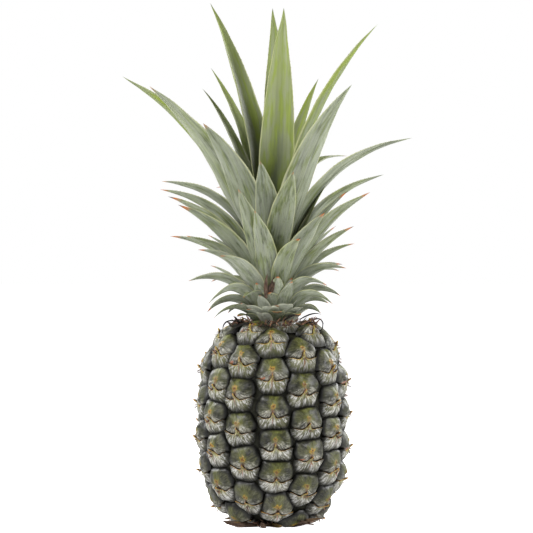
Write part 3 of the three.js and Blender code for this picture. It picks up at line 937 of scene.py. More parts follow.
def leafTree():
    tree, given = geometryTree("growLeaf", [
        ("Section", "Object", None), ("Thorn", "Object", None),
        ("Foot", "Vector", None), ("Bend", "Vector", None), ("Tip", "Vector", None), ("Aside", "Vector", None),
        ("Width", "Float", 0.02), ("Roll", "Float", 0.0), ("Steps", "Int", leafSizes["steps"]),
        ("Wave", "Float", leafSizes["wave"]), ("Thorn Length", "Float", 0.6 * mm), ("Thorns From", "Float", 0.6),
        ("Blunt", "Float", 0.0),
        ("Tint", "Float", 0.5), ("Dry", "Float", 0.0), ("Green", "Float", 0.0), ("Material", "Material", None)])
    spine = put(tree, "GeometryNodeCurveQuadraticBezier", {
        "Resolution": given["Steps"], "Start": given["Foot"], "Middle": given["Bend"],
        "End": given["Tip"]}).outputs[0]
    along = put(tree, "GeometryNodeSplineParameter").outputs["Factor"]
    forward = put(tree, "GeometryNodeInputTangent").outputs[0]
    rolled = times(tree, given["Roll"], calc(tree, "MINIMUM", calc(
        tree, "DIVIDE", along, leafSizes["rollSpan"]), 1.0))
    rightAway = vectorCalc(tree, "NORMALIZE", vectorCalc(tree, "CROSS_PRODUCT", vectorCalc(
        tree, "CROSS_PRODUCT", forward, given["Aside"]), forward))
    side = put(tree, "ShaderNodeVectorRotate", {"Vector": rightAway, "Axis": forward, "Angle": rolled},
               rotation_type="AXIS_ANGLE").outputs[0]
    spine = put(tree, "GeometryNodeSetCurveNormal", {"Curve": spine, "Normal": side}, mode="FREE").outputs[0]
    spine = stored(tree, spine, "along", along)
    spine = stored(tree, spine, "sideDirection", side, "FLOAT_VECTOR")
    spine = stored(tree, spine, "forwardDirection", forward, "FLOAT_VECTOR")
    share = mixed(tree, given["Blunt"], drawnCurve(tree, along, leafSizes["widthLine"]),
                  drawnCurve(tree, along, leafSizes["bluntLine"]))
    half = times(tree, times(tree, share, given["Width"]), 0.5)
    spine = stored(tree, spine, "breadth", calc(tree, "DIVIDE", half, 10 * mm))
    section = put(tree, "GeometryNodeObjectInfo", {"Object": given["Section"]}).outputs["Geometry"]
    section = put(tree, "GeometryNodeMeshToCurve", {"Mesh": section}).outputs[0]
    blade = put(tree, "GeometryNodeCurveToMesh", {
        "Curve": spine, "Profile Curve": section, "Scale": half, "Fill Caps": True}).outputs[0]
    place = put(tree, "GeometryNodeInputPosition").outputs[0]
    swing = put(tree, "ShaderNodeTexNoise", {
        "Vector": place, "Scale": leafSizes["swingScale"], "Detail": 1.0}).outputs["Color"]
    ripple = put(tree, "ShaderNodeTexNoise", {
        "Vector": place, "Scale": leafSizes["rippleScale"], "Detail": 1.0}).outputs["Color"]
    swing = vectorCalc(tree, "SCALE", vectorCalc(tree, "SUBTRACT", swing, (0.5, 0.5, 0.5)), given["Wave"])
    ripple = vectorCalc(tree, "SCALE", vectorCalc(tree, "SUBTRACT", ripple, (0.5, 0.5, 0.5)),
                        times(tree, given["Wave"], leafSizes["rippleShare"]))
    blade = put(tree, "GeometryNodeSetPosition", {
        "Geometry": blade, "Offset": vectorTotal(tree, swing, ripple)}).outputs[0]

    # thorns stand on both rims over the outer part of the leaf
    across, inner = named(tree, "across"), named(tree, "inner")
    onRim = times(tree, calc(tree, "GREATER_THAN", calc(tree, "ABSOLUTE", across), 0.98),
                 calc(tree, "GREATER_THAN", inner, 0.0))
    away = times(tree, calc(tree, "GREATER_THAN", named(tree, "along"), given["Thorns From"]),
                calc(tree, "LESS_THAN", named(tree, "along"), leafSizes["thornsEnd"]))
    rims = put(tree, "GeometryNodeMeshToPoints", {
        "Mesh": blade, "Selection": times(tree, onRim, away)}).outputs[0]
    outward = vectorCalc(tree, "SCALE", named(tree, "sideDirection", "FLOAT_VECTOR"), across)
    lean = vectorTotal(tree, outward, vectorCalc(tree, "SCALE", named(tree, "forwardDirection", "FLOAT_VECTOR"), 0.9))
    facing = put(tree, "FunctionNodeAxesToRotation", {
        "Primary Axis": lean, "Secondary Axis": named(tree, "forwardDirection", "FLOAT_VECTOR")},
        primary_axis="Z", secondary_axis="Y").outputs[0]
    thorn = put(tree, "GeometryNodeObjectInfo", {"Object": given["Thorn"]}).outputs["Geometry"]
    thorns = put(tree, "GeometryNodeInstanceOnPoints", {
        "Points": rims, "Instance": thorn, "Rotation": facing, "Scale": given["Thorn Length"]}).outputs[0]
    thorns = put(tree, "GeometryNodeRealizeInstances", {"Geometry": thorns}).outputs[0]
    whole = put(tree, "GeometryNodeJoinGeometry").inputs[0]
    tree.links.new(blade, whole)
    tree.links.new(thorns, whole)
    geometry = whole.node.outputs[0]
    for label, value in (("tint", given["Tint"]), ("dry", given["Dry"]), ("green", given["Green"])):
        geometry = stored(tree, geometry, label, value)
    merged = put(tree, "GeometryNodeMergeByDistance", {"Geometry": geometry, "Distance": 0.02 * mm}).outputs[0]
    finishTree(tree, merged, given["Material"])
    return tree


def leafMaterial():
    material, tree, shader = newMaterial("leafSkin")
    along, across, inner = attribute(tree, "along"), attribute(tree, "across"), attribute(tree, "inner")
    tint, dry, green = attribute(tree, "tint"), attribute(tree, "dry"), attribute(tree, "green")
    breadth = attribute(tree, "breadth")
    fineLines = useGroup(tree, fibre, {"Across": times(tree, across, breadth),
                                       "Along": times(tree, along, 5.0),
                                       "Fineness": 30.0, "Offset": times(tree, tint, 60.0)})
    marks = useGroup(tree, speckle, {"Place": objectPlace(tree), "Cloud Scale": 55.0, "Grain Scale": 2400.0})
    # outer face: green under a silver bloom that is worn in streaks
    patches = noiseOf(tree, put(tree, "ShaderNodeCombineXYZ", {
        "X": times(tree, across, 2.2), "Y": times(tree, along, 5.0),
        "Z": times(tree, tint, 90.0)}).outputs[0], 1.0, 3.0, 0.6)
    worn = ease(tree, patches, 0.42, 0.66)
    under = colourMix(tree, fineLines["Broad"], "#27310f", "#5f6b28")
    bloom = colourMix(tree, marks["Grain"], "#8f9486", "#a4a89a")
    bloomShare = total(tree, 0.42, times(tree, marks["Cloud"], 0.08),
                       times(tree, fineLines["Lines"], 0.36), times(tree, worn, -0.4),
                       times(tree, green, -0.3))
    outer = colourMix(tree, put(tree, "ShaderNodeClamp", {"Value": bloomShare}).outputs[0], under, bloom)
    # inner face: greener, with painted shade along the channel near the foot
    innerFace = colourMix(tree, fineLines["Broad"], "#354216", "#6b7734")
    innerFace = colourMix(tree, times(tree, fineLines["Lines"], 0.35), innerFace, "#8f9668")
    innerFace = colourMix(tree, times(tree, ease(tree, worn, 1.0, 0.0), total(
        tree, 0.6, times(tree, marks["Grain"], 0.08))), innerFace, "#868b70")
    # painted shade: dark down the middle of the channel toward the leaf's foot
    channel = times(tree, hump(tree, across, 0.4), ease(tree, along, 0.8, 0.15))
    innerFace = colourMix(tree, times(tree, channel, 0.82), innerFace, "#262f14")
    face = colourMix(tree, ease(tree, inner, -0.3, 0.3), outer, innerFace)
    face = colourMix(tree, times(tree, times(tree, green, ease(tree, along, 0.3, 0.9)), 0.4),
                     face, "#7d8a36")
    face = colourMix(tree, times(tree, calc(tree, "SUBTRACT", tint, 0.4), 0.4), face, "#39432a")
    bright = times(tree, times(tree, worn, ease(tree, green, 0.2, 0.75)), 0.55)
    face = colourMix(tree, bright, face, "#7f8f2f")
    # painted shade: the tall green leaves darken toward their feet, down among the other leaves
    paintedBaseShade = times(tree, ease(tree, along, 0.55, 0.15), ease(tree, green, 0.1, 0.75))
    face = colourMix(tree, times(tree, paintedBaseShade, 0.6), face, "#39411f")
    foot = ease(tree, along, 0.22, 0.0)
    face = colourMix(tree, times(tree, foot, 0.6), face, "#a3a450")
    edge = ease(tree, calc(tree, "ABSOLUTE", across), 0.9, 0.99)
    face = colourMix(tree, times(tree, edge, 0.5), face, "#b3b384")
    # the lowest leaves are the palest: partly their own silver bloom, partly painted light for the light that reaches
    # their downward faces from below
    face = colourMix(tree, times(tree, ease(tree, green, -0.5, -0.9), 0.35), face, "#b9bbb0")
    # dry tips: orange, then brown at the very end
    wander = times(tree, calc(tree, "SUBTRACT", marks["Cloud"], 0.5), 0.1)
    tipward = total(tree, along, times(tree, wander, 0.4), times(tree, dry, 0.07))
    orange = times(tree, ease(tree, tipward, 0.96, 1.02), ease(tree, dry, 0.02, 0.5))
    face = colourMix(tree, orange, face, "#a5622e")
    brown = times(tree, ease(tree, tipward, 1.02, 1.06), ease(tree, dry, 0.3, 0.6))
    face = colourMix(tree, brown, face, "#33231a")
    feed(tree, shader.inputs["Base Color"], face)
    feed(tree, shader.inputs["Roughness"], ease(tree, patches, 0.3, 0.7, 0.46, 0.6))
    ridges = times(tree, fineLines["Lines"], ease(tree, along, 0.85, 0.45, 0.12, 1.0))
    shader.inputs["Specular IOR Level"].default_value = 0.35
    bumped(tree, shader, ridges, 0.2 * mm, 0.45)
    return material


section = leafSection("leafSection", leafSizes["channel"])
flatSection = leafSection("flatSection", leafSizes["flatChannel"])
thorn = spineCone()
leafGrower = leafTree()
leafSkin = leafMaterial()


def leafSpine(turn, foot, reach, rise, arch, sway):
    away, aside = turned(turn), turned(turn + 90)
    climb = min(foot * mm / leafSizes["coneHeight"], 1)
    footRadius = leafSizes["footRadius"] + (leafSizes["headRadius"] - leafSizes["footRadius"]) * climb
    start = away * footRadius + Vector((0, 0, leafSizes["crownBase"] + foot * mm))
    tip = away * reach * mm + aside * sway * mm + Vector((0, 0, leafSizes["crownBase"] + rise * mm))
    chord = tip - start
    lift = chord.cross(aside).normalized()
    bend = (start + tip) / 2 + lift * (2 * arch * chord.length)
    return start, bend, tip, aside


def growBlade(name, start, bend, tip, aside, width, roll=0, material=leafSkin, steps=leafSizes["steps"],
              wave=leafSizes["wave"], thorns=0.6 * mm, thornsFrom=0.55, blunt=0.0, tint=0.5, dry=0.0, green=0.0,
              profile=section):
    return grow(meshPiece(name, [(0, 0, 0)], []), leafGrower, {
        "Section": profile, "Thorn": thorn, "Foot": tuple(start), "Bend": tuple(bend), "Tip": tuple(tip),
        "Aside": tuple(aside), "Width": width, "Roll": math.radians(roll), "Steps": steps,
        "Wave": wave, "Thorn Length": thorns, "Thorns From": thornsFrom, "Blunt": blunt,
        "Tint": tint, "Dry": dry, "Green": green, "Material": material})


def makeLeaf(name, shape, **more):
    turn, foot, reach, rise, arch, width, sway, roll = shape
    return growBlade(name, *leafSpine(turn, foot, reach, rise, arch, sway), width * mm, roll, **more)


def joined(name, pieces):
    # several finished pieces as one
    with bpy.context.temp_override(active_object=pieces[0], selected_editable_objects=pieces):
        bpy.ops.object.join()
    pieces[0].name = name
    return pieces[0]


leafChance = random.Random(5)
driedTips = {13: (0.25, 0.1), 15: (0.25, 0.05), 24: (0.3, 0.05)}      # leaves whose tip is dried up: dryness, bluntness
for number, shape in enumerate(crownLeaves, 1):
    node = f"leaf_{number:02d}"
    height = shape[3]
    dryness = leafChance.uniform(0.4, 1.1) if height < 106 else leafChance.uniform(0.0, 0.3) if height < 130 else 0.0
    dryness, blunt = driedTips.get(number, (dryness, 0.0))
    leaf = makeLeaf(f"crownLeaf{number:02d}", shape, tint=leafChance.random(), dry=dryness, blunt=blunt,
                    green=0.75 if height > 185 else leafChance.uniform(0, 0.3) if height > 60 else -0.4)
    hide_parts(node)
    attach(leaf, "root")
print("crown leaves grown:", len(crownLeaves))


# Small leaves that the crown wears round its foot.
footLeaves = {
    # turn, foot, reach, rise, arch, width, sway, roll
    "thin": [(105, 20, 50, 75, 0.08, 10, 0, -30), (-112, 20, 54, 68, 0.1, 10, 0, 30),
             (-104, 10, 44, 36, 0.2, 10, 0, 30), (98, 5, 43, 16, 0.25, 10, 0, -30),
             (75, 3, 38, 9, 0.28, 9, 0, -20), (-64, 3, 50, 6, 0.25, 9, 0, 20),
             (-34, 9, 40, 22, 0.3, 11, 0, 10), (150, 6, 46, 14, 0.25, 11, 0, 0), (-155, 6, 46, 13, 0.25, 11, 0, 0),
             (120, 4, 42, 8, 0.28, 10, 0, 0), (-125, 4, 42, 8, 0.28, 10, 0, 0)],
    # broad grey scales at the front, the lowest ones outermost
    "scales": [(-5, 2, 30, 15, 0.1, 14, 0, 0), (-18, 0, 31, 10, 0.12, 11, 0, 0), (-40, 2, 30, 16, 0.1, 13, 0, 0),
               (22, 3, 30, 17, 0.1, 15, 0, 0), (46, 2, 30, 14, 0.1, 13, 0, 0)],
    "pointed": [(7, 10, 30, 38, 0.06, 14, 0, 0), (-27, 8, 28, 33, 0.06, 12, 0, 0), (30, 8, 29, 34, 0.06, 13, 0, 0)],
    "leathery": [(6, 1, 32, 10.5, 0.2, 13, 0, 0), (38, 1, 33, 8, 0.22, 11, 0, 0), (-52, 0, 34, 7, 0.22, 11, 0, 0)],
    "ring": 24, "ringWidth": (9, 14), "ringReach": (19, 28), "ringRise": (9, 40),
}


def footLeaf(name, shape, **more):
    return makeLeaf(name, shape, steps=18, wave=1.2 * mm, thorns=0.5 * mm, **more)


footChance = random.Random(21)
smallOnes, scaleOnes = [], []
for shape in footLeaves["thin"]:
    smallOnes.append(footLeaf("small", shape, tint=footChance.random(), dry=footChance.uniform(0.5, 1.0), blunt=0.1,
                              green=-0.3))
for shape in footLeaves["scales"]:
    scaleOnes.append(footLeaf("small", shape, thornsFrom=0.99, tint=footChance.uniform(0, 0.3), dry=0.15, blunt=0.85,
                              green=-0.9, profile=flatSection))
for shape in footLeaves["pointed"]:
    scaleOnes.append(footLeaf("small", shape, thornsFrom=0.99, tint=footChance.uniform(0, 0.3), dry=0.5, blunt=0.3,
                              green=-0.4, profile=flatSection))
for shape in footLeaves["leathery"]:
    scaleOnes.append(footLeaf("small", shape, thornsFrom=0.99, tint=1.0, dry=1.4, blunt=0.7,
                              profile=flatSection))
for number in range(footLeaves["ring"]):
    share = number / (footLeaves["ring"] - 1)
    turn = 40 + goldenTurn * number
    rise = footLeaves["ringRise"][0] + (footLeaves["ringRise"][1] - footLeaves["ringRise"][0]) * share
    reach = footLeaves["ringReach"][1] + (footLeaves["ringReach"][0] - footLeaves["ringReach"][1]) * share
    shape = (turn, 6 * share, reach, rise + footChance.uniform(-2, 2), footChance.uniform(0.05, 0.12),
             footChance.uniform(*footLeaves["ringWidth"]), 0, footChance.uniform(-15, 15))
    scaleOnes.append(footLeaf("small", shape, thornsFrom=0.9, tint=footChance.uniform(0, 0.5),
                              dry=footChance.uniform(0.2, 0.9), green=-0.9, blunt=footChance.uniform(0.3, 0.9),
                              profile=flatSection))
for piece in (joined("footLeaves", smallOnes), joined("footScales", scaleOnes)):
    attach(piece, "root")
print("foot leaves grown:", len(smallOnes) + len(scaleOnes))


# Dry shreds: short bent slivers scattered by rule round the eyes, the crown's foot and the base.
def shredMaterial():
    material, tree, shader = newMaterial("dryShred")
    tint = attribute(tree, "shredTint")
    marks = useGroup(tree, speckle, {"Place": objectPlace(tree), "Cloud Scale": 300.0, "Grain Scale": 1500.0})
    skin = colourMix(tree, ease(tree, tint, 0.0, 0.6), "#1d120c", "#6b4634")
    skin = colourMix(tree, ease(tree, tint, 0.6, 1.0), skin, "#b38a6c")
    skin = colourMix(tree, times(tree, marks["Cloud"], 0.4), skin, "#2c1c14")
    feed(tree, shader.inputs["Base Color"], skin)
    feed(tree, shader.inputs["Roughness"], ease(tree, marks["Grain"], 0, 1, 0.6, 0.85))
    bumped(tree, shader, marks["Height"], 0.2 * mm, 0.6)
    return material


def shredSliver():
    # a thin three-sided sliver 1 long along Z, bent to one side
    points = []
    for height, width, lean in ((0, 0.09, 0), (0.35, 0.1, 0.05), (0.7, 0.07, 0.17)):
        for j in range(3):
            angle = 2 * math.pi * j / 3
            points.append((lean + width * math.cos(angle), 0.6 * width * math.sin(angle), height))
    points.append((0.34, 0, 1))
    faces = [(2, 1, 0)] + [(i * 3 + j, i * 3 + (j + 1) % 3, i * 3 + 3 + (j + 1) % 3, i * 3 + 3 + j)
                           for i in range(2) for j in range(3)]
    faces += [(6, 7, 9), (7, 8, 9), (8, 6, 9)]
    return helperPiece(meshPiece("shredSliver", points, faces))


def shredTree():
    tree, given = geometryTree("growShreds", [
        ("Sliver", "Object", None), ("Amount", "Int", 7), ("Seed", "Int", 3), ("Spread", "Float", 1.5 * mm),
        ("Lowest", "Float", -4.5 * mm), ("Highest", "Float", 1.0 * mm), ("Deepest", "Float", 0.2 * mm),
        ("Proudest", "Float", 1.6 * mm), ("Shortest", "Float", 1.8 * mm), ("Longest", "Float", 4.0 * mm),
        ("Droop", "Float", 0.6), ("Wildness", "Float", 0.8), ("Material", "Material", None)])
    points = put(tree, "GeometryNodeMeshToPoints", {"Mesh": given["Geometry"]}).outputs[0]
    many = put(tree, "GeometryNodeDuplicateElements", {"Geometry": points, "Amount": given["Amount"]},
               domain="POINT").outputs[0]

    def chance(low, high, offset):
        node = put(tree, "FunctionNodeRandomValue", data_type="FLOAT")
        seed = calc(tree, "ADD", given["Seed"], float(offset))
        for socket, value in zip([i for i in node.inputs if i.enabled], (low, high, None, seed)):
            feed(tree, socket, value)
        return node.outputs[1]

    minus = times(tree, given["Spread"], -1.0)
    aside, upward, outward = [named(tree, n, "FLOAT_VECTOR") for n in ("aside", "upward", "outward")]
    shift = vectorTotal(tree, vectorCalc(tree, "SCALE", aside, chance(minus, given["Spread"], 1)),
                        vectorCalc(tree, "SCALE", upward, chance(given["Lowest"], given["Highest"], 2)),
                        vectorCalc(tree, "SCALE", outward, chance(given["Deepest"], given["Proudest"], 3)))
    minusWild = times(tree, given["Wildness"], -1.0)
    drooped = calc(tree, "SUBTRACT", chance(minusWild, given["Wildness"], 5), given["Droop"])
    aim = vectorTotal(tree, vectorCalc(tree, "SCALE", aside, chance(minusWild, given["Wildness"], 4)),
                      vectorCalc(tree, "SCALE", upward, drooped),
                      vectorCalc(tree, "SCALE", outward, chance(0.15, 0.7, 6)))
    scattered = put(tree, "GeometryNodeSetPosition", {"Geometry": many, "Offset": shift}).outputs[0]
    scattered = stored(tree, scattered, "shredTint", chance(0.0, 1.0, 7))
    facing = put(tree, "FunctionNodeAxesToRotation", {"Primary Axis": aim, "Secondary Axis": outward},
                 primary_axis="Z", secondary_axis="X").outputs[0]
    sliver = put(tree, "GeometryNodeObjectInfo", {"Object": given["Sliver"]}).outputs["Geometry"]
    copies = put(tree, "GeometryNodeInstanceOnPoints", {
        "Points": scattered, "Instance": sliver, "Rotation": facing,
        "Scale": chance(given["Shortest"], given["Longest"], 8)}).outputs[0]
    finishTree(tree, copies, given["Material"])
    return tree


def ringOfSeeds(name, count, radii, heights, seed):
    # points in a band round the middle, facing outwards
    chance = random.Random(seed)
    places, vectors = [], {"aside": [], "upward": [], "outward": []}
    for i in range(count):
        turn = goldenTurn * i + chance.uniform(-10, 10)
        away = turned(turn)
        places.append(away * chance.uniform(*radii) + Vector((0, 0, chance.uniform(*heights))))
        vectors["aside"].append(turned(turn + 90))
        vectors["upward"].append(Vector((0, 0, 1)))
        vectors["outward"].append(away)
    return meshPiece(name, places, [], None, vectors)


shreds = {
    # the rings' points: how many, radii, heights, seed
    "crownRing": (90, (22 * mm, 33 * mm), (152 * mm, 155 * mm), 8),
    "baseRing": (60, (19 * mm, 30 * mm), (1.2 * mm, 4.5 * mm), 9),
    # what each point bears
    "eye": {"Amount": 11, "Seed": 3},
    "crown": {"Amount": 3, "Seed": 40, "Spread": 4 * mm, "Lowest": -2 * mm, "Highest": 2 * mm, "Deepest": -2 * mm,
              "Proudest": 2 * mm, "Shortest": 3 * mm, "Longest": 8 * mm, "Droop": 0.1, "Wildness": 1.0},
    "base": {"Amount": 3, "Seed": 80, "Spread": 4 * mm, "Lowest": -0.5 * mm, "Highest": 1.5 * mm, "Deepest": -1 * mm,
             "Proudest": 2 * mm, "Shortest": 3 * mm, "Longest": 8 * mm, "Droop": -0.1, "Wildness": 0.5},
}
sliver = shredSliver()
shredGrower = shredTree()
shredLook = {"Sliver": sliver, "Material": shredMaterial()}
eyeShreds = grow(seedPiece("eyeShreds"), shredGrower, {**shredLook, **shreds["eye"]})
crownShreds = grow(ringOfSeeds("crownShreds", *shreds["crownRing"]), shredGrower, {**shredLook, **shreds["crown"]})
baseShreds = grow(ringOfSeeds("baseShreds", *shreds["baseRing"]), shredGrower, {**shredLook, **shreds["base"]})
print("shreds scattered")


# Dry bracts under the fruit, the stalk's remnant and the black curls at the crown's foot.
dryStuff = {
    # turn, start radius, start height, tip radius, tip height, width, lift of the bend, dryness
    "baseBracts": [(-78, 19, 2.0, 38, 5.5, 9, 0.5, 0.5), (-62, 19, 1.6, 37, 2.2, 12, -0.4, 0.9),
                   (-42, 20, 1.6, 31, 1.4, 13, -0.4, 0.7), (-98, 20, 2.0, 35, 5.0, 10, 0, 0.8),
                   (-18, 20, 1.6, 29, 1.6, 10, 0, 0.9), (24, 18, 1.6, 31, 1.4, 14, -0.4, 0.1),
                   (52, 19, 2.0, 33, 2.4, 10, 0, 0.9), (80, 20, 3.0, 39, 7.2, 5, 0.4, 0.6),
                   (112, 20, 2.0, 34, 3.6, 11, 0, 0.7), (142, 19, 1.8, 33, 2.6, 12, 0, 0.5),
                   (172, 19, 1.8, 34, 2.6, 12, 0, 0.8), (-156, 19, 1.8, 33, 2.8, 11, 0, 0.4),
                   (-126, 19, 1.8, 34, 3.4, 12, 0, 0.8)],
    # bracts that lie round the front of the base: start, bend and tip in mm, width, dryness
    "frontBracts": [((-9, -20, 1.8), (-25, -33, 1.6), (-38, -27, 5.0), 5.5, 0.85),
                    ((-13, -20, 2.0), (-25, -31, 3.2), (-33, -28, 4.0), 4.5, 0.4),
                    ((-1, -21, 1.2), (2, -30, 1.2), (7, -32, 1.6), 4.0, 0.1),
                    ((11, -20, 2.0), (19, -30, 3.2), (26, -28, 4.0), 6.0, 1.0),
                    ((15, -20, 3.5), (29, -30, 6.6), (38, -26, 7.2), 2.6, 0.6)],
    # start, bend and tip in mm, then the width
    "curls": [((-24, -17, 155), (-40, -25, 160), (-38, -25, 147.5), 3.6),
              ((-14, -23, 154), (-25, -30, 157), (-32, -29, 148), 3.2),
              ((20, -20, 157), (31, -23, 165), (37, -23, 160.5), 3.4),
              ((31, -16, 147), (41, -18, 148), (36.5, -18, 156), 3.0),
              ((8, -26, 157), (14, -30, 163), (20, -28, 160), 3.0),
              ((24, -20, 153), (31, -24, 158), (33, -24, 152), 2.6),
              ((-6, -22, 174), (-8, -25, 184), (-4, -27, 192), 9.5),
              ((-3, -23, 176), (-1, -25, 183), (1, -27, 190), 4.5),
              ((26, 20, 154), (38, 26, 160), (39, 27, 150), 3.4),
              ((-22, 22, 154), (-32, 32, 159), (-30, 34, 150), 3.4),
              ((2, 30, 154), (4, 42, 160), (4, 42, 150), 3.4)],
    "remnant": [(-4, -17, 3.0), (-10, -28, 3.4), (-9, -33, 3.6), (-6.5, -35, 0.8)], "remnantRadius": 1.7 * mm,
}


def dryLeafMaterial():
    material, tree, shader = newMaterial("dryLeaf")
    along, across, dry = attribute(tree, "along"), attribute(tree, "across"), attribute(tree, "dry")
    lines = useGroup(tree, fibre, {"Across": across, "Along": times(tree, along, 3.0),
                                   "Fineness": 14.0, "Offset": times(tree, attribute(tree, "tint"), 50.0)})
    marks = useGroup(tree, speckle, {"Place": objectPlace(tree), "Cloud Scale": 160.0, "Grain Scale": 1200.0})
    tan = colourMix(tree, marks["Cloud"], "#6d5328", "#a98c50")
    brown = colourMix(tree, marks["Cloud"], "#2a1c14", "#6f5645")
    skin = colourMix(tree, ease(tree, dry, 0.1, 0.8), tan, brown)
    skin = colourMix(tree, times(tree, lines["Lines"], 0.55), skin, "#1a110c")
    skin = colourMix(tree, times(tree, ease(tree, lines["Broad"], 0.5, 1), 0.35), skin, "#9a8472")
    skin = colourMix(tree, ease(tree, dry, 0.95, 1.3), skin, "#15100c")
    shader.inputs["Specular IOR Level"].default_value = 0.25
    feed(tree, shader.inputs["Base Color"], skin)
    feed(tree, shader.inputs["Roughness"], ease(tree, marks["Grain"], 0, 1, 0.6, 0.85))
    bumped(tree, shader, total(tree, lines["Lines"], marks["Grain"]), 0.3 * mm, 0.8)
    return material


def keepAbove(piece, height):
    for vertex in piece.data.vertices:
        vertex.co.z = max(vertex.co.z, height)


dryLeaf = dryLeafMaterial()
dryChance = random.Random(33)
dryOnes = []
for turn, nearRadius, low, farRadius, high, width, lift, dryness in dryStuff["baseBracts"]:
    away, aside = turned(turn), turned(turn + 90)
    start = away * nearRadius * mm + Vector((0, 0, low * mm))
    tip = away * farRadius * mm + aside * dryChance.uniform(-4, 4) * mm + Vector((0, 0, high * mm))
    bend = (start + tip) / 2 + Vector((0, 0, lift * mm))
    dryOnes.append(growBlade("dry", start, bend, tip, aside, width * mm, dryChance.uniform(-10, 10), material=dryLeaf,
                             steps=16, wave=2.0 * mm, thorns=0.0, thornsFrom=0.99, blunt=dryChance.uniform(0, 0.5),
                             tint=dryChance.random(), dry=dryness))
for start, bend, tip, width, dryness in dryStuff["frontBracts"]:
    start, bend, tip = [Vector(p) * mm for p in (start, bend, tip)]
    dryOnes.append(growBlade("dry", start, bend, tip, Vector((0, 0.35, 1)), width * mm, 0, material=dryLeaf, steps=20,
                             wave=2.4 * mm, thorns=0.0, thornsFrom=0.99, blunt=0.4, tint=dryChance.random(),
                             dry=dryness))
baseBracts = joined("baseBracts", dryOnes)
keepAbove(baseBracts, 0.2 * mm)
curls = []
for start, bend, tip, width in dryStuff["curls"]:
    start, bend, tip = [Vector(p) * mm for p in (start, bend, tip)]
    aside = (tip - start).cross(bend - start).normalized()
    curls.append(growBlade("dry", start, bend, tip, aside, width * mm, 0, material=dryLeaf, steps=16, wave=1.6 * mm,
                           thorns=0.0, thornsFrom=0.99, tint=dryChance.random(), dry=0.8 if width > 4 else 1.3))
crownCurls = joined("crownCurls", curls)


def stalkRemnant():
    # a short twisted end of the stalk's outer fibres, lying forward under the fruit
    columns, rings, points = 14, 26, []
    path = [Vector(p) * mm for p in dryStuff["remnant"]]
    for i in range(rings):
        share = i / (rings - 1)
        inverse = 1 - share
        middle = (path[0] * inverse ** 3 + path[1] * 3 * inverse * inverse * share
                  + path[2] * 3 * inverse * share * share + path[3] * share ** 3)
        swell = dryStuff["remnantRadius"] * (0.9 - 0.25 * math.sin(share * math.pi) + 0.25 * share)
        swell *= 0.02 if i in (0, rings - 1) else 1
        for j in range(columns):
            angle = 2 * math.pi * j / columns
            ridge = 1 + 0.2 * math.sin(3 * angle + 5 * share)
            points.append(middle + Vector((math.cos(angle), 0, math.sin(angle))) * swell * ridge)
    faces = gridFaces(rings, columns, True)
    faces += [tuple(reversed(range(columns))), tuple(range(len(points) - columns, len(points)))]
    piece = meshPiece("stalkRemnant", points, faces, {
        "along": [i / (rings - 1) for i in range(rings) for j in range(columns)],
        "across": [2 * j / columns for i in range(rings) for j in range(columns)],
        "dry": [0.75] * len(points), "tint": [0.4] * len(points)})
    piece.data.materials.append(dryLeaf)
    keepAbove(piece, 0.15 * mm)
    return piece


remnant = stalkRemnant()
for piece in (eyeShreds, baseShreds):
    keepAbove(piece, 0.15 * mm)
for piece, slot in ((eyeShreds, "rind"), (crownShreds, "dry_stalk"), (baseShreds, "dry_stalk"),
                    (baseBracts, "dry_stalk"), (crownCurls, "dry_stalk"), (remnant, "dry_stalk")):
    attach(piece, "root")


# The two plain pieces that keep their CAD shape: the stalk's stub in the hollow and the crown's stem.
def stubMaterial():
    material, tree, shader = newMaterial("stalkScar")
    place = objectPlace(tree)
    marks = useGroup(tree, speckle, {"Place": place, "Cloud Scale": 180.0, "Grain Scale": 900.0})
    rings = put(tree, "ShaderNodeTexWave", {"Vector": place, "Scale": 160.0, "Distortion": 6.0, "Detail": 3.0},
                wave_type="RINGS", rings_direction="Z").outputs["Fac"]
    skin = colourMix(tree, marks["Cloud"], "#5d452e", "#a58a62")
    skin = colourMix(tree, times(tree, rings, 0.5), skin, "#3a281a")
    feed(tree, shader.inputs["Base Color"], skin)
    feed(tree, shader.inputs["Roughness"], ease(tree, marks["Grain"], 0, 1, 0.7, 0.9))
    bumped(tree, shader, total(tree, rings, marks["Grain"]), 0.5 * mm, 0.8)
    return material


def stemMaterial():
    material, tree, shader = newMaterial("stemSkin")
    marks = useGroup(tree, speckle, {"Place": objectPlace(tree), "Cloud Scale": 120.0, "Grain Scale": 900.0})
    skin = colourMix(tree, marks["Cloud"], "#6f7a48", "#b3b789")
    skin = colourMix(tree, times(tree, marks["Grain"], 0.4), skin, "#5b4a30")
    feed(tree, shader.inputs["Base Color"], skin)
    feed(tree, shader.inputs["Roughness"], ease(tree, marks["Grain"], 0, 1, 0.5, 0.75))
    bumped(tree, shader, marks["Height"], 0.3 * mm, 0.7)
    return material


for node, material in (("stalk_stub", stubMaterial()), ("crown_stem", stemMaterial())):
    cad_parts[node].data.materials.clear()
    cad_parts[node].data.materials.append(material)
print("dry pieces made")


# Camera, light and floor.

view = {"middle": (-4.9 * mm, 0, 196.5 * mm), "width": 0.405, "lens": 300, "rise": 1.5}


def setCamera():
    camera = bpy.data.objects.new("camera", bpy.data.cameras.new("camera"))
    bpy.context.scene.collection.objects.link(camera)
    camera.data.lens = view["lens"]
    distance = view["width"] * view["lens"] / camera.data.sensor_width
    angle = math.radians(view["rise"])
    middle = Vector(view["middle"])
    back = Vector((0, -math.cos(angle), math.sin(angle)))
    camera.location = middle + back * distance
    camera.rotation_euler = (-back).to_track_quat("-Z", "Y").to_euler()
    bpy.context.scene.camera = camera


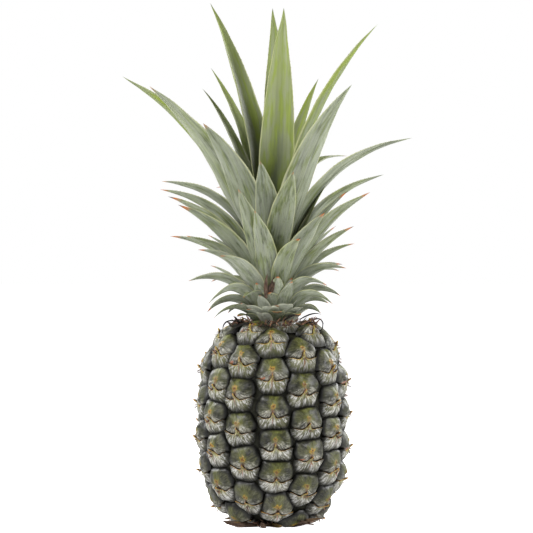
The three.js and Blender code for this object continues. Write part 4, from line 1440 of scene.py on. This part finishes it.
def softLight(name, place, size, watts):
    lamp = bpy.data.objects.new(name, bpy.data.lights.new(name, "AREA"))
    bpy.context.scene.collection.objects.link(lamp)
    lamp.data.shape, lamp.data.size, lamp.data.energy = "DISK", size, watts
    lamp.location = place
    target = Vector((0, 0, 0.2))
    lamp.rotation_euler = (target - lamp.location).to_track_quat("-Z", "Y").to_euler()


studio = {
    # name, place in metres, size across, watts
    "lamps": [("leftBox", (-1.0, -0.6, 0.95), 0.45, 20.5), ("rightBox", (1.1, -0.4, 0.65), 0.45, 15.5),
              ("frontBox", (-0.3, -1.5, 1.1), 0.4, 6.5), ("backLeftBox", (-0.9, 0.9, 0.7), 0.6, 12),
              ("backRightBox", (0.9, 0.9, 0.6), 0.6, 12)],
    "wallLight": 0.22, "wallSeen": 1.0,      # what the white wall gives the object, and how bright it looks
    "paperLight": 0.1, "paperSeen": 0.95, "paper": 0.92, "floorEdge": 6,
}
setCamera()
for lamp in studio["lamps"]:
    softLight(*lamp)
world = bpy.data.worlds.new("studio")
bpy.context.scene.world = world
world.use_nodes = True
sky = world.node_tree
seen = put(sky, "ShaderNodeLightPath").outputs["Is Camera Ray"]     # a white wall that lights the object less
feed(sky, sky.nodes["Background"].inputs["Color"], (1, 1, 1, 1))
feed(sky, sky.nodes["Background"].inputs["Strength"], mixed(sky, seen, studio["wallLight"], studio["wallSeen"]))
bpy.context.scene.view_settings.view_transform = "Standard"

floorMaterial, floorTree, floorShader = newMaterial("floorPaper")
floorShader.inputs["Base Color"].default_value = (*[studio["paper"]] * 3, 1)
floorShader.inputs["Roughness"].default_value = 0.9
floorShader.inputs["Emission Color"].default_value = (1, 1, 1, 1)
feed(floorTree, floorShader.inputs["Emission Strength"], mixed(
    floorTree, put(floorTree, "ShaderNodeLightPath").outputs["Is Camera Ray"],
    studio["paperLight"], studio["paperSeen"]))
edge = studio["floorEdge"]
floor = meshPiece("floor", [(-edge, -edge, 0), (edge, -edge, 0), (edge, edge, 0), (-edge, edge, 0)], [(0, 1, 2, 3)],
                  smooth=False)
floor.data.materials.append(floorMaterial)
print("camera, light and floor set")

for piece in (disc, fan, section, flatSection, thorn, sliver):
    bpy.data.objects.remove(piece)
